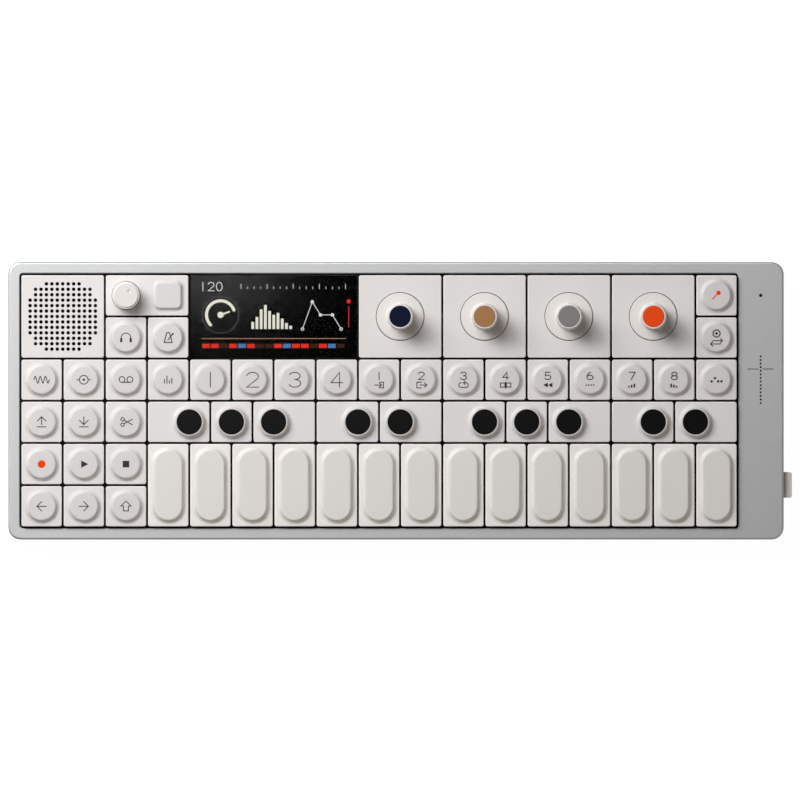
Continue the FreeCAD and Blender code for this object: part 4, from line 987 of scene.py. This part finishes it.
@dataclass
class Housing:
    """Case, cover, screws and feet, and what is printed on the land beside the keys, in millimetres."""

    window: tuple[float, float, float, float] = (-139.85, -46.85, 124.35, 46.85)
    window_edge: float = 0.3
    window_depth: float = 3.5
    corner_reach: float = 0.45
    edge_start: float = 0.02
    near: float = 0.05
    hole_reach: float = 0.8
    hole_depth: float = 1.3
    land_x: float = 132.5
    land_top: float = 16.0
    tick_y: float = 11.7
    tick_length: float = 3.75
    tick_gap: float = 0.9
    tick_width: float = 0.4

    def build(self) -> None:
        """Dresses the nodes and adds the tick beside the level meter."""
        case = dress("upper_case", CASE_ALUMINIUM, CUT_ALUMINIUM, FRAME_PLASTIC)
        log.info("the window's cut edge has %d faces", repaint(case, 1, self.on_window_edge))
        # The window's walls and the land's small holes take the black finish as painted shade.
        log.info("the window's lined walls have %d faces", repaint(case, 2, self.on_window_wall))
        log.info("the land's small holes have %d faces", repaint(case, 2, self.in_land_hole))
        dress("bottom_cover", COVER_ALUMINIUM)
        dress("case_screws", SCREW_STEEL)
        dress("rubber_feet", FOOT_RUBBER)
        tick = Print(self.land_top, self.tick_width, film=0.01)
        for side in (-1, 1):
            ends = [(side * self.tick_gap, 0.0), (side * (self.tick_gap + self.tick_length), 0.0)]
            tick.draw([Stroke(ends)], (self.land_x, self.tick_y))
        tick.make("level_tick", INK_FAINT, "case")

    def on_window_edge(self, place: Vector) -> bool:
        """Whether the middle of a face lies on the chamfer round the window."""
        outside, depth = self.outside_window(place), self.depth(place)
        return -self.corner_reach < outside < self.window_edge and self.edge_start < depth < self.window_edge

    def on_window_wall(self, place: Vector) -> bool:
        """Whether the middle of a face lies on the window's walls, which are painted black as shade."""
        outside, depth = self.outside_window(place), self.depth(place)
        return -self.corner_reach < outside < self.near and self.window_edge < depth < self.window_depth

    def in_land_hole(self, place: Vector) -> bool:
        """Whether the middle of a face lies on the wall of a small hole in the land, which is painted black
        as shade too.
        """
        on_line = abs(place.x / MM - self.land_x) < self.hole_reach and abs(place.y / MM) < self.window[3]
        return on_line and self.near < self.depth(place) < self.hole_depth

    def depth(self, place: Vector) -> float:
        """How far a point lies under the case's top, in millimetres."""
        return self.land_top - place.z / MM

    def outside_window(self, place: Vector) -> float:
        """How far a point lies outside the window in plan, in millimetres."""
        left, front, right, rear = (side * MM for side in self.window)
        return max(left - place.x, place.x - right, front - place.y, place.y - rear) / MM


@dataclass
class Inside:
    """What the case hides."""

    finishes: tuple[tuple[str, Finish], ...] = (
        ("battery_pack", FOIL),
        ("circuit_board", LAMINATE),
        ("speaker_driver", DRIVER_PAPER),
        ("switch_body", SOCKET_PLASTIC),
        ("meter_board", LIGHT_GUIDE),
        ("encoder_bodies", CONTROL_STEEL),
        ("volume_pot", CONTROL_STEEL),
        ("key_mat", MAT_SILICONE),
        ("key_guide_frame", FRAME_PLASTIC),
        ("display_module", FRAME_PLASTIC),
    )

    def build(self) -> None:
        """Dresses the nodes."""
        for node, finish in self.finishes:
            dress(node, finish)


@dataclass
class EndSockets:
    """Audio sockets, USB socket and power slider in the right-hand end, in millimetres."""

    level: float = 8.2
    jack_face: float = 140.9
    jack_places: tuple[float, float] = (27.0, 11.0)
    bore_radius: float = 1.8
    ring_radius: float = 2.7
    ring_proud: float = 0.12
    ring_gap: float = 0.02
    ring_seat: float = 0.4
    tongue_y: float = -7.0
    tongue_half_width: float = 3.35
    tongue_half_height: float = 0.35
    tongue_tip: float = 139.9
    near: float = 0.01
    contact_pitch: float = 0.5
    contact_width: float = 0.26
    contact_length: float = 3.4
    contact_inset: float = 0.5
    contacts: int = 12
    contact_proud: float = 0.02
    contact_sunk: float = 0.03

    def build(self) -> None:
        """Dresses the nodes and adds the sockets' plated parts."""
        dress("audio_jacks", SOCKET_PLASTIC)
        dress("power_slider", SLIDER_ABS)
        socket = dress("usb_socket", SOCKET_STEEL, SOCKET_PLASTIC)
        log.info("the tongue has %d faces", repaint(socket, 1, self.on_tongue))
        self.add_rings()
        self.add_contacts()

    def on_tongue(self, place: Vector) -> bool:
        """Whether a point lies on the USB socket's tongue."""
        across = abs(place.y / MM - self.tongue_y) < self.tongue_half_width + self.near
        return across and abs(place.z / MM - self.level) < self.tongue_half_height + self.near

    def add_rings(self) -> None:
        """Adds the plated rings round the bores, each with rolled edges."""
        inner, outer, proud = self.bore_radius + self.ring_gap, self.ring_radius, self.ring_proud
        profile = [
            (inner, -self.ring_seat),
            (outer, -self.ring_seat),
            (outer, proud / 3),
            (outer - proud / 2, proud),
            (inner + proud / 2, proud),
            (inner, proud / 3),
        ]
        vertices: list[Vector] = []
        faces: list[list[int]] = []
        for y in self.jack_places:
            ring_vertices, ring_faces = lathe(profile, Vector((self.jack_face, y, self.level)), "x")
            faces += [[corner + len(vertices) for corner in face] for face in ring_faces]
            vertices += ring_vertices
        make_piece("audio_socket_rings", vertices, faces, SOCKET_STEEL, "case", smooth=True)

    def add_contacts(self) -> None:
        """Adds the gold strips on both sides of the tongue."""
        half, end = self.contact_width / 2, self.tongue_tip - self.contact_inset
        proud, sunk = self.contact_proud, self.contact_sunk
        for name, side, film, sink in (
            ("usb_contacts_upper", 1, proud, sunk),
            ("usb_contacts_lower", -1, sunk, proud),
        ):
            strips = Print(self.level + side * self.tongue_half_height, film=film, sink=sink, step=0.0)
            for place in range(self.contacts):
                y = (place - (self.contacts - 1) / 2) * self.contact_pitch
                strips.draw([bar(end - self.contact_length, y - half, end, y + half)], (0.0, self.tongue_y))
            strips.make(name, CONTACT_GOLD, "case")


@dataclass
class RoundButtons:
    """Round-capped buttons and the legends printed on them, in millimetres."""

    orange_nodes: tuple[str, ...] = ("record_button",)
    numbered_row: int = 2
    first_track: int = 4
    tracks: int = 4
    first_sound: int = 8
    track_numeral: Point = (4.3, 5.4)
    sound_numeral: Point = (2.2, 2.7)
    numeral_rise: float = 1.42
    sign_drop: float = -1.95
    sign_rows: tuple[tuple[str, int, int, tuple[Symbol, ...]], ...] = (
        ("record_button", 0, 4, (Symbol.RECORD,)),
        ("play_button", 1, 4, (Symbol.PLAY,)),
        ("stop_button", 2, 4, (Symbol.STOP,)),
        ("arrow_buttons", 0, 5, (Symbol.LEFT, Symbol.RIGHT)),
        ("shift_button", 2, 5, (Symbol.CAPITAL,)),
        ("edit_buttons", 0, 3, (Symbol.LIFT, Symbol.DROP, Symbol.SCISSORS)),
        ("mode_buttons", 0, 2, (Symbol.WAVE, Symbol.TARGET, Symbol.TAPE, Symbol.MIXER)),
    )
    sound_signs: tuple[Symbol, ...] = (
        Symbol.INTO, Symbol.OUT_OF, Symbol.LOOP, Symbol.SPLICE,
        Symbol.REVERSE, Symbol.DOTS, Symbol.CLIMB, Symbol.FALL,
    )
    tool_signs: tuple[tuple[Point, Symbol], ...] = (
        ((2, 1), Symbol.HEADPHONES),
        ((3, 1), Symbol.METRONOME),
        ((16, 1), Symbol.LINK),
        ((16, 2), Symbol.STEPS),
    )
    microphone_place: Point = (16, 0)

    def legends(self) -> dict[str, dict[Point, Marks]]:
        """What is printed on the light caps.

        Returns:
            By node, its marks by column and row.
        """
        legends = {
            node: {(column + place, row): sign.value for place, sign in enumerate(signs)}
            for node, column, row, signs in self.sign_rows
        }
        legends["track_buttons"] = {
            (self.first_track + place, self.numbered_row): numeral(place + 1, *self.track_numeral)
            for place in range(self.tracks)
        }
        legends["sound_buttons"] = {
            (self.first_sound + place, self.numbered_row): [
                *shifted(numeral(place + 1, *self.sound_numeral), 0, self.numeral_rise),
                *shifted(sign.value, 0, self.sign_drop),
            ]
            for place, sign in enumerate(self.sound_signs)
        }
        legends["tool_buttons"] = {place: sign.value for place, sign in self.tool_signs}
        return legends

    def build(self) -> None:
        """Dresses the buttons and prints their legends."""
        for node, places in self.legends().items():
            dress(node, TILE_ABS)
            ink = INK_ORANGE if node in self.orange_nodes else INK_GREY
            self.print_on(node, places, f"legend_{node}", ink)
        microphone = {self.microphone_place: Symbol.MICROPHONE.value}
        self.print_on("tool_buttons", microphone, "legend_microphone", INK_ORANGE)

    def print_on(self, node: str, places: dict[Point, Marks], name: str, ink: Finish) -> None:
        """Prints legends on a node's caps.

        Args:
            node: The node, which is also its body.
            places: Marks by column and row.
            name: The print's name.
            ink: Its finish.
        """
        legend = Print(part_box(node)[1].z / MM)
        for (column, row), marks in places.items():
            legend.draw(marks, GRID.cell(column, row))
        legend.make(name, ink, node)


@dataclass
class PianoKeys:
    """Long keys with pill-shaped caps and short keys with a black disc let in, in millimetres."""

    long_keys: int = 14
    short_key_lines: tuple[int, ...] = (4, 5, 6, 8, 9, 11, 12, 13, 15, 16)
    short_key_row: int = 3
    disc: Inset = Inset(radius=4.65, depth=0.8, side_gap=0.02)

    def build(self) -> None:
        """Dresses the keys."""
        for number in range(1, self.long_keys + 1):
            dress(f"white_key_{number}", KEY_ABS)
        for number, line in enumerate(self.short_key_lines, start=1):
            node = f"black_key_{number}"
            dress(node, TILE_ABS, BLACK_DISC)
            self.disc.paint(node, GRID.cell(line - 0.5, self.short_key_row))


@dataclass
class SpeakerTile:
    """Tile with sound holes, and the cloth behind them, in millimetres."""

    cell: Point = (0.5, 0.5)
    tile_top: float = 17.7
    skin: float = 1.6
    near: float = 0.1
    holes_reach: float = 14.3
    cloth_top: float = 15.95
    cloth_radius: float = 13.2
    cloth_thick: float = 0.35
    cloth_middle: float = 0.001

    def build(self) -> None:
        """Dresses the tile, paints its holes' walls black as shade, and stretches the cloth behind its holes.
        """
        x, y = GRID.cell(*self.cell)
        tile = dress("speaker_grille", TILE_ABS, FRAME_PLASTIC)
        foot, top = (self.tile_top - self.skin + self.near) * MM, (self.tile_top - self.near) * MM
        # The holes' walls take the black finish as painted shade.
        walls = repaint(
            tile, 1, lambda place: foot < place.z < top and radius_about(place, (x, y)) < self.holes_reach
        )
        log.info("the holes' walls have %d faces", walls)
        radius, thick = self.cloth_radius, self.cloth_thick
        profile = [
            (self.cloth_middle, -thick),
            (radius - thick / 2, -thick),
            (radius, -thick / 2),
            (radius - thick / 2, 0.0),
            (self.cloth_middle, 0.0),
        ]
        vertices, faces = lathe(profile, Vector((x, y, self.cloth_top)), "z")
        make_piece("speaker_cloth", vertices, faces, SPEAKER_CLOTH, "case", smooth=True)


@dataclass
class TurningControls:
    """Four tall encoders with coloured caps and the volume knob, in millimetres."""

    controls: tuple[tuple[str, float, Finish], ...] = (
        ("blue_encoder", 8.5, CAP_BLUE),
        ("ochre_encoder", 10.5, CAP_OCHRE),
        ("grey_encoder", 12.5, CAP_GREY),
        ("orange_encoder", 14.5, CAP_ORANGE),
    )
    row: float = 0.5
    cap: Inset = Inset(radius=3.95, depth=1.4, side_gap=0.03)
    tile_foot: float = 15.9
    shaft_radius: float = 3.05
    volume_cell: Point = (2.0, 0.0)

    def build(self) -> None:
        """Dresses the controls and the tiles that carry them."""
        dress("encoder_panels", TILE_ABS)
        dress("volume_panel", TILE_ABS)
        for node, column, colour in self.controls:
            middle = GRID.cell(column, self.row)
            obj = dress(node, KNOB_ABS, colour, CONTROL_STEEL)
            self.cap.paint(node, middle)
            repaint(obj, 2, lambda place: self.on_shaft(place, middle))
        knob = dress("volume_knob", KNOB_ABS, CONTROL_STEEL)
        repaint(knob, 1, lambda place: self.on_shaft(place, GRID.cell(*self.volume_cell)))

    def on_shaft(self, place: Vector, middle: Point) -> bool:
        """Whether a point lies on a control's metal shaft, under the tiles."""
        return place.z < self.tile_foot * MM and radius_about(place, middle) < self.shaft_radius


@dataclass
class Display:
    """Cover glass and the pixels under it, bonded to its back, in millimetres."""

    middle: Point = (-46.5, 31.0)
    wide: float = 60.9
    high: float = 29.9
    corner: float = 0.6
    face_level: float = 15.9
    bond: float = 0.03
    tempo_place: Point = (-26.0, 11.0)
    tempo_pitch: float = 3.0
    tempo_digit: Point = (2.1, 3.1)
    dial_middle: Point = (-19.5, 0.6)
    dial_radius: float = 5.2
    dial_rim_radius: float = 6.7
    dial_marks: Span = (7.2, 7.9)
    pointer: Point = (3.2, 1.16)
    bars_place: Point = (-8.2, -4.6)
    bars_pitch: float = 1.55
    ticks_place: Point = (-12.0, 10.2)
    ticks_pitch: float = 2.4
    steps_place: Point = (-26.3, -11.6)
    steps_pitch: float = 3.3
    step_size: Point = (2.9, 1.6)

    def build(self) -> None:
        """Dresses the glass and draws what the display shows."""
        dress("display_glass", COVER_GLASS)
        face = Print(self.face_level, film=self.bond, sink=0.05, step=0.0)
        face.draw([Patch(rounded_outline(self.wide, self.high, self.corner))], self.middle)
        face.make("display_face", DISPLAY_FACE, "case")
        for name, (finish, line, marks) in self.picture().items():
            lit = Print(self.face_level + self.bond, line, film=0.01, sink=0.02, step=0.001)
            lit.draw(marks, self.middle).make(name, finish, "case")

    def picture(self) -> dict[str, tuple[Finish, float, Marks]]:
        """What the display shows, in millimetres about its middle.

        Returns:
            By piece, its light, its line width and its marks.
        """
        return {
            "pixels_tempo": (PIXEL_WHITE, 0.3, self.tempo()),
            "pixels_dial": (PIXEL_CREAM, 0.42, self.dial()),
            "pixels_dial_rim": (PIXEL_GREY, 0.22, self.dial_rim()),
            "pixels_spectrum": (PIXEL_CREAM, 0.3, self.spectrum()),
            "pixels_envelope": (PIXEL_WHITE, 0.26, self.envelope()),
            "pixels_ticks": (PIXEL_WHITE, 0.2, self.ticks()),
            "pixels_steps_red": (PIXEL_RED, 0.2, self.steps(0)),
            "pixels_steps_blue": (PIXEL_BLUE, 0.2, self.steps(1)),
            "pixels_steps_brown": (PIXEL_BROWN, 0.2, self.steps(2)),
            "pixels_ground_line": (PIXEL_TAN, 0.22, [Stroke([(-26.5, -8.1), (26.5, -8.1)])]),
            "pixels_alert": (PIXEL_RED, 0.3, [dot(27.6, 5.6, 0.75), Stroke([(27.6, 3.6), (27.6, -3.8)])]),
        }

    def tempo(self) -> Marks:
        """Beats a minute, at the upper left."""
        x, y = self.tempo_place
        marks: Marks = []
        for place, digit in enumerate((1, 2, 0)):
            marks += shifted(numeral(digit, *self.tempo_digit), x + self.tempo_pitch * place, y)
        return marks

    def dial(self) -> Marks:
        """Setting of a level, as an arc with a pointer."""
        sweep = Stroke(arc(0, 0, self.dial_radius, self.dial_radius, 225, 20), bold=2.6)
        return shifted([sweep, dot(0, 0, 1.15), Stroke([(0, 0), self.pointer], bold=1.4)], *self.dial_middle)

    def dial_rim(self) -> Marks:
        """Scale round the dial."""
        marks: Marks = [ring(0, 0, self.dial_rim_radius)]
        for angle in map(math.radians, range(-45, 226, 27)):
            marks.append(Stroke([(r * math.cos(angle), r * math.sin(angle)) for r in self.dial_marks]))
        return shifted(marks, *self.dial_middle)

    def spectrum(self) -> Marks:
        """Loudness by pitch, as bars."""
        heights = (2.6, 4.4, 7.2, 8.8, 6.6, 5.2, 5.9, 3.8, 2.2, 1.2)
        bars = [
            bar(self.bars_pitch * place, 0, self.bars_pitch * place + 1, high)
            for place, high in enumerate(heights)
        ]
        return shifted(bars, *self.bars_place)

    def envelope(self) -> Marks:
        """A note's rise and fall, as a line with handles."""
        handles = [(10.6, -4.6), (14.2, 5.4), (17.2, 0.6), (21.6, 0.6), (24.8, -4.6)]
        line: Marks = [Stroke(handles)]
        return line + [dot(x, y, 0.62) for x, y in handles[1:4]] + [ring(x, y, 0.5) for x, y in handles[::4]]

    def ticks(self) -> Marks:
        """Time line at the top."""
        ticks: Marks = []
        for place in range(17):
            across, high = self.ticks_pitch * place, 0.7 if place % 4 else 1.7
            ticks.append(Stroke([(across, 0), (across, high)]))
        return shifted(ticks, *self.ticks_place)

    def steps(self, colour: int) -> Marks:
        """Steps of a pattern along the bottom, of one colour.

        Args:
            colour: 0 for played, 1 for chosen, 2 for empty.

        Returns:
            Their marks.
        """
        pattern = (0, 0, 2, 0, 1, 0, 2, 2, 0, 1, 0, 0, 2, 0, 1, 2)
        step = bar(0, 0, *self.step_size)
        x, y = self.steps_place
        marks: Marks = []
        for place, kind in enumerate(pattern):
            if kind == colour:
                marks += shifted([step], x + self.steps_pitch * place, y)
        return marks


def rounded_outline(wide: float, high: float, corner: float) -> list[Point]:
    """Rectangle with round corners, about its middle.

    Args:
        wide: Its width.
        high: Its height.
        corner: Radius of its corners.

    Returns:
        Its points, counter-clockwise.
    """
    x, y = wide / 2 - corner, high / 2 - corner
    quarters = ((x, y, 0), (-x, y, 90), (-x, -y, 180), (x, -y, 270))
    return [point for cx, cy, start in quarters for point in arc(cx, cy, corner, corner, start, start + 90)]


@dataclass(frozen=True)
class SoftLamp:
    """Square lamp with a diffuser.

    Attributes:
        name: Its name.
        place: Where it stands, in metres.
        target: What it points at, in metres.
        size: Its width, in metres.
        power: Its power, in watts.
        colour: Its colour.
    """

    name: str
    place: tuple[float, float, float]
    target: tuple[float, float, float]
    size: float
    power: float
    colour: str = "ffffff"

    def hang(self) -> None:
        """Puts the lamp up, out of the camera's sight."""
        light = bpy.data.lights.new(self.name, "AREA")
        light.shape = "SQUARE"
        light.size = self.size
        light.energy = self.power
        light.color = linear(self.colour)[:3]
        lamp = add_object(self.name, light)
        lamp.location = self.place
        lamp.rotation_euler = (Vector(self.target) - Vector(self.place)).to_track_quat("-Z", "Y").to_euler()
        lamp.visible_camera = False


@dataclass
class Studio:
    """Pale floor, soft lamps, pale surroundings and the camera, in metres."""

    floor_half: float = 6.0
    floor_glow: float = 0.84
    floor_colour: str = "f2f2f2"
    glow_strength: float = 1.15
    lens: float = 1200.0
    sensor: float = 36.0
    view_width: float = 0.29453
    view_middle: tuple[float, float] = (-0.00006, 0.00031)
    lamps: tuple[SoftLamp, ...] = (
        SoftLamp("left_lamp", (-0.614, 0.472, 0.6), (0.0, 0.0, 0.0), 0.42, 5.3),
        SoftLamp("rear_lamp", (-0.3, 0.5, 0.7), (0.0, 0.0, 0.0), 0.4, 2.9),
        SoftLamp("overhead_panel", (-0.552, 0.54, 1.0), (-0.552, 0.54, 0.0), 1.0, 4.27),
    )
    wall_side: tuple[float, float, float] = (0.68, -0.62, -0.25)
    wall_bright: str = "d4cac3"
    wall_dim: str = "151515"
    wall_reach: float = 0.95
    sight: float = 100.0

    def build(self) -> None:
        """Sets the studio up."""
        self.lay_floor()
        self.paint_walls()
        for lamp in self.lamps:
            lamp.hang()
        self.aim_camera()
        bpy.context.scene.view_settings.view_transform = "Standard"

    def lay_floor(self) -> None:
        """Lays the floor, which shows white and keeps the object's shadow."""
        half = self.floor_half
        corners = [(half * x, half * y, 0.0) for x, y in ((-1, -1), (1, -1), (1, 1), (-1, 1))]
        mesh = bpy.data.meshes.new("floor")
        mesh.from_pydata(corners, [], [(0, 1, 2, 3)])
        material = bpy.data.materials.new("paper_sweep_white")
        tree = empty_tree(material)
        rays = add_node(tree, "ShaderNodeLightPath").outputs
        seen = rays["Is Camera Ray"]
        for kind in ("Is Glossy Ray", "Is Transmission Ray"):
            either = add_node(tree, "ShaderNodeMath", {0: seen, 1: rays[kind]}, operation="MAXIMUM")
            seen = either.outputs["Value"]
        share = add_node(tree, "ShaderNodeMath", {0: seen, 1: self.floor_glow}, operation="MULTIPLY")
        paper = add_node(tree, "ShaderNodeBsdfDiffuse", {"Color": linear(self.floor_colour)})
        light = {"Color": linear("ffffff"), "Strength": self.glow_strength}
        glow = add_node(tree, "ShaderNodeEmission", light)
        parts = {0: share.outputs["Value"], 1: paper.outputs[0], 2: glow.outputs[0]}
        mixed = add_node(tree, "ShaderNodeMixShader", parts)
        add_node(tree, "ShaderNodeOutputMaterial", {"Surface": mixed.outputs[0]})
        mesh.materials.append(material)
        floor = add_object("floor", mesh)

    def paint_walls(self) -> None:
        """Surrounds the set with a dark ceiling and a pale wall that fills the shadows from the right."""
        world = bpy.data.worlds.new("studio_walls")
        tree = empty_tree(world)
        direction = add_node(tree, "ShaderNodeTexCoord").outputs["Generated"]
        sides = {0: direction, 1: self.wall_side}
        towards = add_node(tree, "ShaderNodeVectorMath", sides, operation="DOT_PRODUCT")
        reach = {"Value": towards.outputs["Value"], "From Min": 0.0, "From Max": self.wall_reach}
        share = add_node(tree, "ShaderNodeMapRange", reach, interpolation_type="SMOOTHSTEP")
        tones = {0: share.outputs["Result"], 6: linear(self.wall_dim), 7: linear(self.wall_bright)}
        walls = add_node(tree, "ShaderNodeMix", tones, data_type="RGBA")
        seen = add_node(tree, "ShaderNodeLightPath").outputs["Is Camera Ray"]
        views = {0: seen, 6: walls.outputs[2], 7: linear("ffffff")}
        shown = add_node(tree, "ShaderNodeMix", views, data_type="RGBA")
        walls_light = add_node(tree, "ShaderNodeBackground", {"Color": shown.outputs[2]})
        add_node(tree, "ShaderNodeOutputWorld", {"Surface": walls_light.outputs[0]})
        bpy.context.scene.world = world

    def aim_camera(self) -> None:
        """Hangs the camera straight above, so far up that the view has no perspective to speak of."""
        lens = bpy.data.cameras.new("overhead_camera")
        lens.lens = self.lens
        lens.sensor_width = self.sensor
        lens.clip_end = self.sight
        camera = add_object("overhead_camera", lens)
        camera.location = (*self.view_middle, self.view_width * self.lens / self.sensor)
        bpy.context.scene.camera = camera


def main() -> None:
    """Dresses the instrument and sets up its studio."""
    logging.basicConfig(level=logging.INFO, format="%(name)s: %(message)s")
    pieces = (Housing, Inside, EndSockets, SpeakerTile, RoundButtons, PianoKeys, TurningControls, Display)
    for assembly in (*pieces, Studio):
        assembly().build()
        log.info("finished %s", assembly.__name__)


if __name__ == "__main__":
    main()
